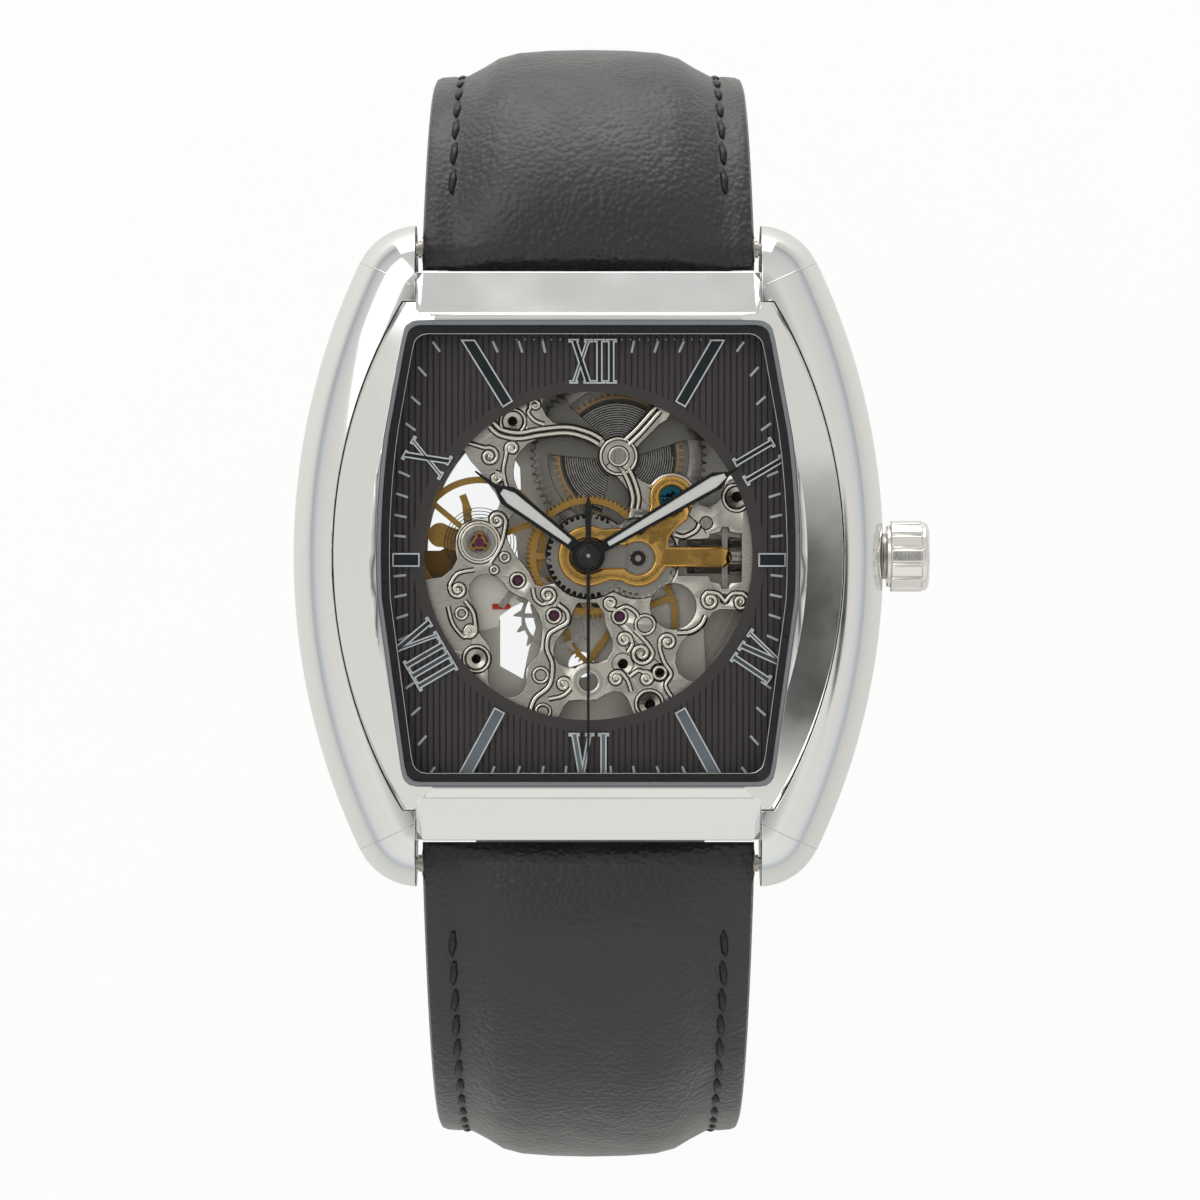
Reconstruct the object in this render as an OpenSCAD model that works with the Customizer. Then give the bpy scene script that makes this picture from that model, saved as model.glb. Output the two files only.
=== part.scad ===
// Skeleton wristwatch with a tonneau case, an open-worked automatic movement
// and a padded two-piece leather strap, laid dial up.
// Millimetres. +Z out of the dial, +Y to 12 o'clock, +X to the crown.
// The origin is the middle of the case back's outer face.

/* [Case] */
// half the case width at 3 and 9 o'clock
case_half_w = 20.6; // [20.2:0.1:21.2]
// gap between the lugs, the strap's nominal size plus clearance
lug_gap = 24; // [23.8:0.1:24.4]
// height of the crystal's top above the case back
crystal_top = 11.3; // [11.3:0.1:11.8]
// thickness of the crystal
crystal_t = 1.2; // [1:0.1:1.2]

/* [Dial] */
// radius of the open centre of the dial
aperture_r = 11.4; // [11:0.1:11.8]
// thickness of the dial plate
dial_t = 0.4; // [0.3:0.05:0.5]

/* [Hands] */
// distance from the centre to the tip of the hour hand
hour_len = 9.8; // [9:0.1:10.5]
// distance from the centre to the tip of the minute hand
minute_len = 12.2; // [11.5:0.1:12.6]
// distance from the centre to the tip of the seconds hand
second_len = 14.7; // [13.5:0.1:14.8]

/* [Crown] */
// diameter over the crown's flutes
crown_d = 5.0; // [4.6:0.1:5.4]
// how far the crown pulls out
crown_travel = 1.0; // [0.6:0.1:1]

/* [Strap] */
// width of the strap at the lugs
strap_w = 23.2; // [22.6:0.1:23.4]
// how much narrower the strap is at the buckle
strap_taper = 3.2; // [3.2:0.2:5]
// thickness of the padding at its highest
pad_t = 4.2; // [3.4:0.1:4.6]

/* [Hidden] */
$fn = 64;

// wing of the case: a round tube bent along the wrist side
wing_tube = 4.6;
wing_z = 5.6;
wing_r = 43.05;
wing_cx = case_half_w - wing_tube - wing_r;
wing_end = 18.5;
wing_ang = asin(wing_end / wing_r);
wing_end_x = wing_cx + wing_r * cos(wing_ang);
seam_r = 34.4;
seam_cx = case_half_w - 2.9 - seam_r;
slot_half = lug_gap / 2;
slot_y = 19.75;
bar_y = 21.5;
bar_z = 4.2;
bar_r = 0.9;
bar_tip_r = 0.45;
strap_end_w = strap_w - strap_taper;
gap_seat = 0.03;

// levels of the watch from the back
back_t = 1.6;
bridge_z = 3.1;
bridge_top = 3.7;
plate_z = 6.35;
plate_top = 7.35;
recess_z = 6.95;
dial_z = 8.0;
crystal_z = crystal_top - crystal_t;
movement_r = 13.6;
stem_z = 4.4;

// where the pieces of the movement stand
barrel_at = [2.10, 6.94];
third_at = [2.17, -4.22];
escape_at = [-2.39, -4.15];
pallet_at = [-4.91, -1.70];
balance_at = [-7.59, 0.96];
minute_at = [3.46, -0.16];
crown_wheel_at = [6.586, 0];
screw_at = [5.79, 4.05];
lever_at = [8.2, 2.3];
yoke_at = [9.5, -3.0];

// radius of arbors, of their pivots and of the holes the pivots run in
arbor_r = 0.2;
pivot_r = 0.1;
hole_r = 0.14;

// centre distances and modules of the gear pairs
d_barrel = norm(barrel_at);
m_barrel = 2 * d_barrel / 84;
d_third = norm(third_at);
m_third = 2 * d_third / 90;
m_fourth = 2 * d_third / 85;
d_escape = norm(escape_at);
m_escape = 2 * d_escape / 88;
d_minute = norm(minute_at);
m_minute = 2 * d_minute / 48;
m_hour = 2 * d_minute / 50;
d_crown = norm(barrel_at - crown_wheel_at);
m_ratchet = 2 * d_crown / 108;

// directions of the line of centres of each pair
a_barrel = atan2(barrel_at[1], barrel_at[0]);
a_third = atan2(third_at[1], third_at[0]);
a_escape = atan2(escape_at[1], escape_at[0]);
a_minute = atan2(minute_at[1], minute_at[0]);
a_crown = atan2(crown_wheel_at[1] - barrel_at[1], crown_wheel_at[0] - barrel_at[0]);

// one toothed outline: n teeth, module m, tip and root heights and widths in pitches
module teeth(n, m, add, ded, tip, root, at_angle, odd) {
  polygon([for (i = [0 : n - 1])
    for (q = [[-root, -ded], [-tip, add], [tip, add], [root, -ded]])
      let (a = at_angle + 360 * (i + q[0] / 2 + (odd ? 0.5 : 0)) / n, r = m * n / 2 + q[1] * m)
        [r * cos(a), r * sin(a)]]);
}

// wheel teeth are wider at the root, pinion leaves stay slim
module wheel_teeth(n, m, at_angle, odd = false) {
  teeth(n, m, 0.85, 1.15, 0.16, 0.5, at_angle, odd);
}
module leaf_teeth(n, m, at_angle, odd = false) {
  teeth(n, m, 0.7, 1.25, 0.14, 0.4, at_angle, odd);
}

// flat wheel with arms
module spoked(n, m, at_angle, odd, rim, hub, arms, t, bore, twist_a = 0) {
  linear_extrude(t) difference() {
    wheel_teeth(n, m, at_angle, odd);
    difference() {
      circle(m * n / 2 - rim);
      circle(hub);
      for (i = [0 : arms - 1]) rotate(twist_a + 360 * i / arms)
        translate([0, -0.22]) square([m * n / 2, 0.44]);
    }
    circle(bore);
  }
}

module at(p, z) {
  translate([p[0], p[1], z]) children();
}

// straight-sided piece between two heights
module slab(z1, z2) {
  translate([0, 0, z1]) linear_extrude(z2 - z1) children();
}

// outline of the glass and dial: two shallow arcs, flat ends, small corners
module tonneau(grow) {
  y1 = 16.2 + grow;
  y2 = -15.9 - grow;
  r = 65 + grow;
  c = 1.0;
  function flank(y) = sqrt(r * r - y * y) - 50.4;
  intersection() {
    translate([-50.4, 0]) circle(r, $fn = 200);
    translate([50.4, 0]) circle(r, $fn = 200);
    polygon(concat(
      [for (a = [0 : 22.5 : 90]) [flank(y1 - c) - c + c * cos(a) + 0.02, y1 - c + c * sin(a)]],
      [for (a = [90 : 22.5 : 180]) [-flank(y1 - c) + c + c * cos(a) - 0.02, y1 - c + c * sin(a)]],
      [[-flank(0) - 0.6, 2]],
      [for (a = [180 : 22.5 : 270]) [-flank(y2 + c) + c + c * cos(a) - 0.02, y2 + c + c * sin(a)]],
      [for (a = [270 : 22.5 : 360]) [flank(y2 + c) - c + c * cos(a) + 0.02, y2 + c + c * sin(a)]],
      [[flank(0) + 0.6, 2]]));
  }
}

// plan of the case inside the seam between wings and bezel
module seam_plan(grow) {
  intersection() {
    translate([seam_cx, 0]) circle(seam_r + grow, $fn = 200);
    translate([-seam_cx, 0]) circle(seam_r + grow, $fn = 200);
    union() {
      square([60, 35.2 + 2 * grow], center = true);
      square([2 * slot_half, 2 * slot_y + 2 * grow], center = true);
    }
  }
}

// one polished wing with its round lug ends
module wing() {
  intersection() {
    translate([wing_cx, 0, wing_z]) rotate_extrude($fn = 200) translate([wing_r, 0]) circle(wing_tube);
    slab(0, 12) translate([wing_cx, 0]) polygon([[0, 0], [60, -60 * tan(wing_ang)],
      [60, 60 * tan(wing_ang)]]);
  }
  for (s = [-1, 1]) translate([wing_end_x, s * wing_end, wing_z]) sphere(wing_tube - 0.02);
}

// Case middle with both wings, the lugs and the pocket for the movement
module case_middle() {
  color("silver") difference() {
    union() {
      wing();
      mirror([1, 0, 0]) wing();
      slab(1, 9.4) intersection() {
        translate([wing_cx, 0]) circle(wing_r + 1.1, $fn = 200);
        translate([-wing_cx, 0]) circle(wing_r + 1.1, $fn = 200);
        square([60, 2 * slot_y], center = true);
      }
    }
    slab(-1, 20) for (s = [-1, 1]) translate([-slot_half, s > 0 ? slot_y : -slot_y - 10])
      square([lug_gap, 10]);
    slab(8.42, 20) seam_plan(gap_seat);
    slab(7.6, 20) for (s = [-1, 1]) translate([-slot_half, s > 0 ? 17 : -17 - 10]) square([lug_gap, 10]);
    slab(7.98, 20) tonneau(0.35);
    slab(0.5, 20) circle(movement_r + gap_seat);
    slab(-1, back_t) back_plan(gap_seat);
    for (p = screw_spots()) at(p, 0.5) cylinder(h = 2.9, r = 0.55);
    for (s = [-1, 1]) translate([0, s * bar_y, bar_z]) rotate([0, 90, 0])
      cylinder(h = 2 * slot_half + 2.4, r = bar_tip_r + 0.05, center = true);
    translate([10, 0, stem_z]) rotate([0, 90, 0]) cylinder(h = 20, r = 1.1);
  }
}

function screw_spots() = [[12.6, 12.8], [-12.6, 12.8], [12.6, -12.8], [-12.6, -12.8]];

// outline of the case back
module back_plan(grow) {
  intersection() {
    translate([-35, 0]) circle(51.2 + grow, $fn = 200);
    translate([35, 0]) circle(51.2 + grow, $fn = 200);
    square([60, 34.4 + 2 * grow], center = true);
  }
}

// disc whose sloped edge gives the bezel its flank on side s
module flank_cone(s) {
  translate([s * seam_cx, 0, 0]) rotate_extrude($fn = 200)
    polygon([[0, 7], [seam_r, 7], [seam_r, 9.75], [seam_r - 2.9, 11.1], [0, 11.1]]);
}

// Bezel: inner frame with the sloped bars between the lugs
module bezel() {
  color("silver") difference() {
    intersection() {
      union() {
        slab(8.45, 12) seam_plan(-0.02);
        slab(7.65, 9) for (s = [-1, 1]) translate([-slot_half + 0.03, s > 0 ? 17.05 : -slot_y])
          square([lug_gap - 0.06, slot_y - 17.05]);
      }
      flank_cone(1);
      flank_cone(-1);
      rotate([90, 0, 90]) translate([0, 0, -30]) linear_extrude(60)
        polygon([[-slot_y, 7], [slot_y, 7], [slot_y, 8.7], [16.4, 10.95], [-16.1, 10.95], [-slot_y, 8.7]]);
    }
    for (s = [0, 1]) mirror([0, s, 0]) rotate([90, 0, 90]) translate([0, 0, 0.1 - slot_half])
      linear_extrude(lug_gap - 0.2) polygon([[16.6, 12], [16.75, 10.45], [20, 8.25], [20, 12]]);
    slab(7, 20) tonneau(-0.9);
    slab(crystal_z - 0.02, 20) tonneau(0);
    slab(7, crystal_z - 0.2) tonneau(0.33);
    slab(7, 8.45) square([2 * slot_half - 1, 33], center = true);
  }
}

// Flat mineral glass
module crystal() {
  color("lightcyan", 0.4) slab(crystal_z, crystal_top) tonneau(-0.3);
}

// Thin seal round the glass
module crystal_gasket() {
  color("dimgray") slab(crystal_z, crystal_top - 0.25) difference() {
    tonneau(-0.02);
    tonneau(-0.28);
  }
}

// Back plate with a round window
module case_back() {
  color("silver") difference() {
    slab(0, back_t - 0.02) back_plan(0);
    slab(-1, 3) circle(11.4);
    slab(0.3, 3) circle(12.2);
    for (p = screw_spots()) {
      at(p, -1) cylinder(h = 4, r = 0.55);
      at(p, -1) cylinder(h = 1.6, r = 0.95);
    }
  }
}

// Glass in the back
module back_crystal() {
  color("lightcyan", 0.4) union() {
    slab(0.32, 1.5) circle(12.17);
    slab(0, 0.5) circle(11.37);
  }
}

// Four slotted screws of the back
module back_screws() {
  color("silver") for (p = screw_spots()) at(p, 0) difference() {
    union() {
      translate([0, 0, 0.1]) cylinder(h = 0.48, r = 0.9);
      translate([0, 0, 0.5]) cylinder(h = 2.6, r = 0.5);
    }
    translate([-1, -0.12, 0]) cube([2, 0.24, 0.3]);
  }
}

// Fluted crown with a flat end cap
module crown() {
  n = 14;
  r = crown_d / 2;
  color("silver") translate([case_half_w + 0.25, 0, stem_z]) rotate([0, 90, 0]) difference() {
    union() {
      cylinder(h = 0.3, r = r - 0.35);
      translate([0, 0, 0.3]) linear_extrude(2.15) polygon([for (i = [0 : n - 1])
        for (q = [[-0.44, 0], [-0.36, 0.2], [0.36, 0.2], [0.44, 0]])
          let (a = 360 * (i + q[0]) / n) [(r - 0.2 + q[1]) * cos(a), (r - 0.2 + q[1]) * sin(a)]]);
      translate([0, 0, 2.45]) cylinder(h = 0.3, r = r - 0.12);
      translate([0, 0, 2.75]) cylinder(h = 0.2, r1 = r - 0.12, r2 = r - 0.4);
    }
    translate([0, 0, -1]) cylinder(h = 1.6 + crown_travel, r = 1.25);
    translate([0, 0, -1]) cylinder(h = 3, r = 0.52);
  }
}

// Tube pressed in the case that guides the stem
module crown_tube() {
  color("silver") translate([0, 0, stem_z]) rotate([0, 90, 0]) difference() {
    union() {
      translate([0, 0, case_half_w - 4.6]) cylinder(h = 6.2, r = 1.08);
      translate([0, 0, case_half_w + 0.02]) cylinder(h = 0.2, r = 1.6);
    }
    translate([0, 0, case_half_w - 5]) cylinder(h = 8, r = 0.62);
  }
}

// Two sprung bars that hold the strap
module spring_bars() {
  color("gray") for (s = [-1, 1]) translate([0, s * bar_y, bar_z]) rotate([0, 90, 0]) union() {
    cylinder(h = lug_gap - 0.7, r = bar_r, center = true);
    cylinder(h = lug_gap + 2.2, r = bar_tip_r, center = true);
    cylinder(h = lug_gap - 0.2, r = 0.6, center = true);
  }
}

// Dial plate with the round opening and its raised border
module dial() {
  color("#3a3535") difference() {
    union() {
      slab(dial_z, dial_z + dial_t) tonneau(0.25);
      slab(dial_z + 0.1, dial_z + dial_t + 0.03) circle(aperture_r + 0.8);
    }
    slab(7, 10) circle(aperture_r);
  }
}

// strokes of the roman numerals, upright on the baseline
num_h = 3.1;
marker_z = dial_z + dial_t + 0.04;
module stroke(x1, x2, w) {
  polygon([[x1 - w / 2, -num_h / 2], [x1 + w / 2, -num_h / 2], [x2 + w / 2, num_h / 2],
    [x2 - w / 2, num_h / 2]]);
}
module serif(x, top, w = 0.78) {
  y = top ? num_h / 2 - 0.12 : -num_h / 2 + 0.12;
  translate([x, y]) square([w, 0.24], center = true);
}
module letter_i(x) {
  stroke(x, x, 0.44);
  serif(x, true);
  serif(x, false);
}
module letter_v(x) {
  stroke(x, x - 0.54, 0.46);
  stroke(x, x + 0.54, 0.3);
  serif(x - 0.54, true);
  serif(x + 0.54, true, 0.66);
}
module letter_x(x, reach) {
  stroke(x + reach, x - reach, 0.46);
  stroke(x - reach, x + reach, 0.3);
  serif(x - reach, true, 0.72);
  serif(x + reach, true, 0.62);
  serif(x - reach, false, 0.62);
  serif(x + reach, false, 0.72);
}
module numeral(p, turn) {
  translate([p[0], p[1], marker_z]) rotate([0, 0, turn]) linear_extrude(0.27) children();
}

// Applied roman numerals
module numerals() {
  color("silver") {
    numeral([0.35, 13.5], 0) {
      letter_x(-0.85, 0.52);
      letter_i(0.42);
      letter_i(1.24);
    }
    numeral([11.84, 6.55], -59.5) {
      letter_i(-0.7);
      letter_i(0.7);
    }
    numeral([11.7, -7.2], 56) {
      letter_i(-0.74);
      letter_v(0.74);
    }
    numeral([0.3, -13.83], 0) {
      letter_v(-0.74);
      letter_i(0.75);
    }
    numeral([-11.4, -6.83], -59.8) {
      letter_v(-1.22);
      letter_i(0.08);
      letter_i(0.9);
      letter_i(1.72);
    }
    numeral([-11.2, 6.8], 60) letter_x(0, 0.6);
  }
}

// Six applied bars: four slanted and two short
module batons() {
  z = marker_z;
  color("silver") {
    baton([9.0, 15.0], [6.38, 10.5]);
    baton([8.8, -15.2], [6.36, -10.7]);
    baton([-8.57, -15.2], [-6.14, -10.7]);
    baton([-8.36, 15.0], [-5.58, 10.5]);
    slab(z, z + 0.27) translate([12.75, -0.28]) square([1.9, 0.95], center = true);
    slab(z, z + 0.27) translate([-12.65, -0.28]) square([1.9, 0.95], center = true);
  }
}
module baton(p, q) {
  d = (q - p) / norm(q - p) * (p[1] > 0 ? 0.42 : -0.42);
  slab(marker_z, marker_z + 0.27)
    polygon([p - [0.5, 0], p + [0.5, 0], q + [-d[1], d[0]], q + [d[1], -d[0]]]);
}

// openings of the skeleton plate
module window_balance() {
  polygon([[-8.56, 7.21], [-8.19, 6.6], [-7.59, 5.93], [-7.13, 5.25], [-6.46, 4.35], [-6.15, 3.74],
    [-6.4, 3.05],
    [-7.06, 2.7], [-8.0, 2.55], [-8.8, 2.2], [-9.25, 1.4], [-9.3, 0.5], [-9.14, -0.24], [-9.5, -0.9],
    [-10.2, -1.45], [-11.4, -1.6], [-12.2, -0.5], [-12.3, 2], [-11.6, 4.6], [-10.4, 6.9], [-9.4, 8.0]]);
}
module window_barrel() {
  difference() {
    union() {
      polygon([[-2.47, 8.34], [-3.44, 8.19], [-4.2, 7.81], [-4.72, 7.28], [-5.1, 6.68], [-5.21, 6.0],
        [-5.18, 5.4],
        [-4.95, 4.8], [-4.7, 4.0], [-5.0, 3.2], [-5.6, 2.5], [-5.8, 1.8], [-5.65, 1.2], [-5.35, 0.5],
        [-4.95, -0.1],
        [-4.5, -0.55], [-4.1, -1.1], [-3.7, -1.95], [-3.3, -2.1], [-2.5, -1.9], [0, 0], [2.3, 2.2],
        [2.78, 2.76],
        [2.96, 3.59], [2.85, 4.35], [2.4, 5.1], [1.9, 5.6], [2.1, 6.94], [0.3, 7.8], [-0.8, 8.2],
        [-1.6, 8.34]]);
    }
    circle(3.05);
    translate(barrel_at) circle(1.4);
  }
}
module window_top() {
  difference() {
    polygon([[-3.14, 10.9], [-3.22, 10.37], [-2.92, 9.77], [-2.47, 9.32], [-1.64, 9.05], [-0.24, 8.8],
      [0.9, 8.3],
      [2.1, 6.94], [2.55, 7.9], [3.38, 8.86], [4.13, 9.69], [4.73, 10.44], [5.2, 11.1], [2.6, 12.2],
      [0, 12.45], [-2.6, 12.1]]);
    translate(barrel_at) circle(1.4);
  }
}
module window_right() {
  difference() {
    polygon([[5.9, 10.3], [5.49, 9.47], [4.96, 9.16], [4.28, 8.49], [3.2, 7.4], [2.1, 6.94], [3.0, 6.1],
      [3.3, 5.6],
      [3.68, 5.25], [4.3, 4.98], [7.6, 4.6], [7.7, 3.6], [8.42, 3.45], [8.95, 3.7], [9.33, 4.3],
      [9.45, 5.0],
      [9.7, 5.6], [10.3, 5.9], [11.1, 5.6], [9.8, 7.6], [8.2, 9.3]]);
    translate(barrel_at) circle(1.4);
    translate(screw_at) circle(1.75);
  }
}
module window_escape() {
  polygon([[-8.34, -2.5], [-8.22, -1.96], [-7.81, -1.4], [-7.13, -1.24], [-6.38, -1.42], [-5.93, -1.89],
    [-5.55, -2.41], [-4.95, -2.79], [-4.35, -2.98], [-3.82, -3.47], [-3.44, -4.15], [-3.22, -4.9],
    [-3.29, -5.65],
    [-3.37, -6.33], [-3.52, -6.93], [-4.12, -7.46], [-4.39, -7.91], [-4.35, -8.81], [-4.57, -9.42],
    [-4.95, -9.72],
    [-5.48, -9.83], [-6.15, -9.64], [-6.76, -9.19], [-6.98, -8.74], [-6.95, -7.84], [-6.74, -7.0],
    [-6.8, -6.4],
    [-7.13, -5.88], [-7.59, -5.35], [-7.81, -4.75], [-7.85, -4.15], [-8.11, -3.24]]);
}
module window_train() {
  polygon([[-0.75, -3.28], [-1.04, -3.85], [-1.26, -4.45], [-1.34, -4.9], [-1.79, -5.35], [-2.24, -5.88],
    [-2.39, -6.48], [-2.35, -7.08], [-2.01, -7.53], [-1.34, -7.76], [-0.81, -7.61], [-0.21, -7.4],
    [0.22, -7.4],
    [0.74, -7.38], [1.27, -7.16], [1.65, -6.56], [1.68, -5.88], [1.35, -5.2], [1.16, -4.75],
    [1.08, -4.0], [0.59, -3.28]]);
}
module window_low() {
  polygon([[7.9, -5.15], [6.99, -5.5], [6.54, -5.95], [6.16, -6.71], [6.09, -7.46], [6.31, -8.14],
    [6.84, -8.59],
    [7.52, -8.74], [8.3, -8.6], [9.2, -8.2], [10.6, -6.3], [11.7, -4.2], [11.06, -3.77], [9.18, -3.73],
    [8.65, -3.92], [8.35, -4.45]]);
}
module window_keyless() {
  polygon([[6.3, 1.1], [8.42, 1.18], [8.46, 1.5], [9.21, 1.65], [9.29, 2.01], [9.74, 2.01],
    [9.82, 1.65], [10.66, 1.56],
    [10.66, -1.81], [9.82, -1.85], [9.74, -2.26], [9.29, -2.26], [9.21, -1.87], [8.5, -1.77],
    [8.35, -1.36], [6.3, -1.36]]);
}
module window_foot() {
  polygon([[-2.1, -11.4], [-1.71, -10.47], [-1.34, -10.1], [-0.7, -10.05], [0.6, -10.05], [1.1, -9.7],
    [1.72, -9.42],
    [2.32, -9.49], [2.7, -9.94], [2.93, -10.47], [3.15, -11.2], [3.4, -11.9], [0.6, -12.4], [-2.3, -12.2]]);
}
function plate_holes() = [[-7.81, -7.16, 0.3], [-5.29, 9.39, 0.3], [4.28, -10.32, 0.35],
[10.34, 4.12, 0.35],
  [2.4, -7.5, 0.33], [4.96, -8.1, 0.22]];

// Skeleton main plate, dial side up
module main_plate() {
  color("#b8b4ab") difference() {
    union() {
      slab(plate_z, plate_top) difference() {
        circle(movement_r);
        window_balance();
        window_barrel();
        window_top();
        window_right();
        window_escape();
        window_train();
        window_low();
        window_keyless();
        window_foot();
        translate([5.9, -3.5]) circle(1.58);
        translate([0, -8.75]) circle(0.62);
      }
      slab(plate_z + 0.5, plate_top + 0.12) difference() {
        translate([0, -8.75]) circle(1.28);
        translate([0, -8.75]) circle(0.62);
      }
    }
    slab(recess_z, 9) circle(2.98);
    slab(recess_z, 9) translate(minute_at) circle(2.82);
    for (h = plate_holes()) at(h, plate_z + 0.15) cylinder(h = 3, r = h[2]);
    for (h = plate_holes()) at(h, plate_top - 0.3) cylinder(h = 3, r = h[2] + 0.42);
    at([0, 0], 6) cylinder(h = 3, r = 0.36);
    at(minute_at, 6) cylinder(h = 3, r = 0.22);
    at(barrel_at, 6) cylinder(h = 3, r = 0.55);
    at(screw_at, 6) cylinder(h = 3, r = 0.5);
    for (p = [third_at, escape_at, pallet_at]) at(p, 6) cylinder(h = 3, r = 0.5);
    at(balance_at, 6) cylinder(h = 3, r = 1.15);
    at(lever_at, 6) cylinder(h = 3, r = 0.45);
    at(yoke_at, 6) cylinder(h = 3, r = 0.34);
  }
}

// Ruby bearings set in the plate
module plate_jewels() {
  color("#7b3a5e") {
    for (p = [third_at, escape_at, pallet_at]) at(p, plate_z + 0.1) difference() {
      cylinder(h = 0.8, r = 0.48);
      translate([0, 0, -1]) cylinder(h = 1.5, r = hole_r);
    }
    at(balance_at, plate_z + 0.45) difference() {
      cylinder(h = 0.4, r = 0.62);
      translate([0, 0, -1]) cylinder(h = 1.2, r = hole_r);
    }
  }
}

// Shock setting of the balance
module shock_block() {
  color("silver") at(balance_at, 0) difference() {
    translate([0, 0, plate_z]) cylinder(h = 1.15, r = 1.12);
    translate([0, 0, plate_z + 0.4]) cylinder(h = 2, r = 0.8);
    translate([0, 0, plate_z - 1]) cylinder(h = 3, r = 0.4);
  }
}

// Gold-coloured three-lobed shock spring
module shock_spring() {
  color("goldenrod") at(balance_at, plate_z + 0.9) linear_extrude(0.1) difference() {
    union() {
      for (a = [90, 210, 330]) rotate(a) translate([0.48, 0]) circle(0.28);
      circle(0.48);
    }
    for (a = [90, 210, 330]) rotate(a) translate([0.45, 0]) circle(0.15);
    circle(0.32);
  }
}

// Gilt cover over the setting wheels
module setting_cover() {
  color("goldenrod") difference() {
    union() {
      at(screw_at, plate_top + gap_seat) cylinder(h = 0.45, r = 1.3);
      cover_plate();
    }
    at(screw_at, 7) cylinder(h = 3, r = 0.45);
    at(screw_at, 7.85) cylinder(h = 3, r = 0.86);
  }
}
module cover_plate() {
  slab(7.75, 7.93) difference() {
    union() {
      circle(2.1);
      translate(screw_at) circle(1.55);
      translate(minute_at) circle(1.95);
      polygon([[4.3, 3.6], [7.25, 3.5], [6.9, 2.55], [6.1, 1.95], [5.6, 1.3], [5.5, 0.4], [3.4, 1.7],
        [4.1, 2.4]]);
      polygon([[0.8, -1.9], [1.55, -1.67], [2.2, -1.7], [2.8, -1.9], [3.0, -1.3], [2.34, -0.96],
        [1.2, -0.86]]);
      polygon([[0.9, 1.85], [1.2, 0.95], [2.4, 0.8], [3.2, 1.5], [3.8, 2.2], [2.6, 1.95]]);
      translate([5.2, -0.75]) square([4.2, 1.35]);
      translate([9.3, -0.075]) circle(0.66);
    }
    circle(1.12);
    translate(minute_at) circle(1.15);
    translate([0.5, -0.85]) square([2.1, 1.6]);
  }
}

// Blued screw of the cover
module cover_screw() {
  color("steelblue") at(screw_at, 0) difference() {
    union() {
      translate([0, 0, 7.87]) cylinder(h = 0.22, r = 0.82);
      translate([0, 0, plate_z + 0.1]) cylinder(h = 1.7, r = 0.42);
    }
    translate([-1, -0.1, 8.0]) cube([2, 0.2, 1]);
  }
}

// Winding stem
module winding_stem() {
  color("gray") translate([6.6, 0, stem_z]) rotate([0, 90, 0]) cylinder(h = case_half_w - 4.8, r = 0.5);
}

// Ribbed winding pinion on the stem
module winding_pinion() {
  color("silver") translate([0, 0, stem_z]) rotate([0, 90, 0]) difference() {
    translate([0, 0, 9.9]) linear_extrude(0.85) leaf_teeth(16, 0.149, 0);
    translate([0, 0, 9]) cylinder(h = 3, r = 0.54);
  }
}

// Sliding clutch pinion
module sliding_pinion() {
  color("gray") translate([0, 0, stem_z]) rotate([0, 90, 0]) difference() {
    union() {
      translate([0, 0, 7.95]) cylinder(h = 1.35, r = 0.8);
      translate([0, 0, 7.4]) linear_extrude(0.5) leaf_teeth(14, 0.14, 0);
      translate([0, 0, 7.85]) cylinder(h = 0.2, r = 0.75);
      translate([0, 0, 9.28]) cylinder(h = 0.42, r = 1.15);
    }
    translate([0, 0, 6]) cylinder(h = 6, r = 0.54);
  }
}

// Setting lever on its pin
module setting_lever() {
  color("gray") {
    at(lever_at, 5.65) cylinder(h = 1.75, r = 0.4);
    slab(5.65, 5.95) difference() {
      union() {
        translate(lever_at) circle(0.8);
        polygon([[7.6, 2.2], [8.8, 2.5], [12.4, 1.2], [12.3, 0.55], [11.7, 0.6], [11.3, 1.1], [8.6, 1.6]]);
      }
    }
  }
}

// Yoke blade that shifts the sliding pinion
module yoke() {
  color("gray") {
    slab(6.0, 6.3) {
      translate([9.32, -3]) square([0.38, 4.95]);
      translate(yoke_at) circle(0.62);
    }
    at(yoke_at, 6.0) cylinder(h = 1.2, r = 0.3);
  }
}

// Crown wheel under the winding pinion
module crown_wheel() {
  color("silver") at(crown_wheel_at, 0) {
    translate([0, 0, 2.83]) linear_extrude(0.22) difference() {
      leaf_teeth(48, m_ratchet, 0, true);
      circle(0.62);
    }
  }
}

// Ratchet wheel on the barrel arbor
module ratchet_wheel() {
  color("silver") at(barrel_at, 2.83) linear_extrude(0.22) difference() {
    rotate(a_crown) wheel_teeth(60, m_ratchet, 0);
    circle(0.47);
  }
}

// Toothed barrel plate with three windows
module barrel_wheel() {
  color("#77736d") at(barrel_at, 5.45) linear_extrude(0.42) difference() {
    rotate(a_barrel + 180) wheel_teeth(70, m_barrel, 0);
    for (a = [96, 216, 336]) rotate(a) difference() {
      intersection() {
        circle(4.9);
        polygon([[0.5, 0], [9, -7.6], [9, 7.6]]);
      }
      circle(1.5);
    }
    circle(0.53);
  }
}

// Brass drum with its serrated flange
module barrel_drum() {
  color("#a47c3a") at(barrel_at, 0) difference() {
    union() {
      translate([0, 0, 4.4]) cylinder(h = 1.03, r = 4.2);
      translate([0, 0, 5.0]) linear_extrude(0.2) wheel_teeth(60, 0.148, 0);
    }
    translate([0, 0, 4.6]) cylinder(h = 3, r = 3.95);
    translate([0, 0, 4]) cylinder(h = 3, r = 0.53);
  }
}

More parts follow.
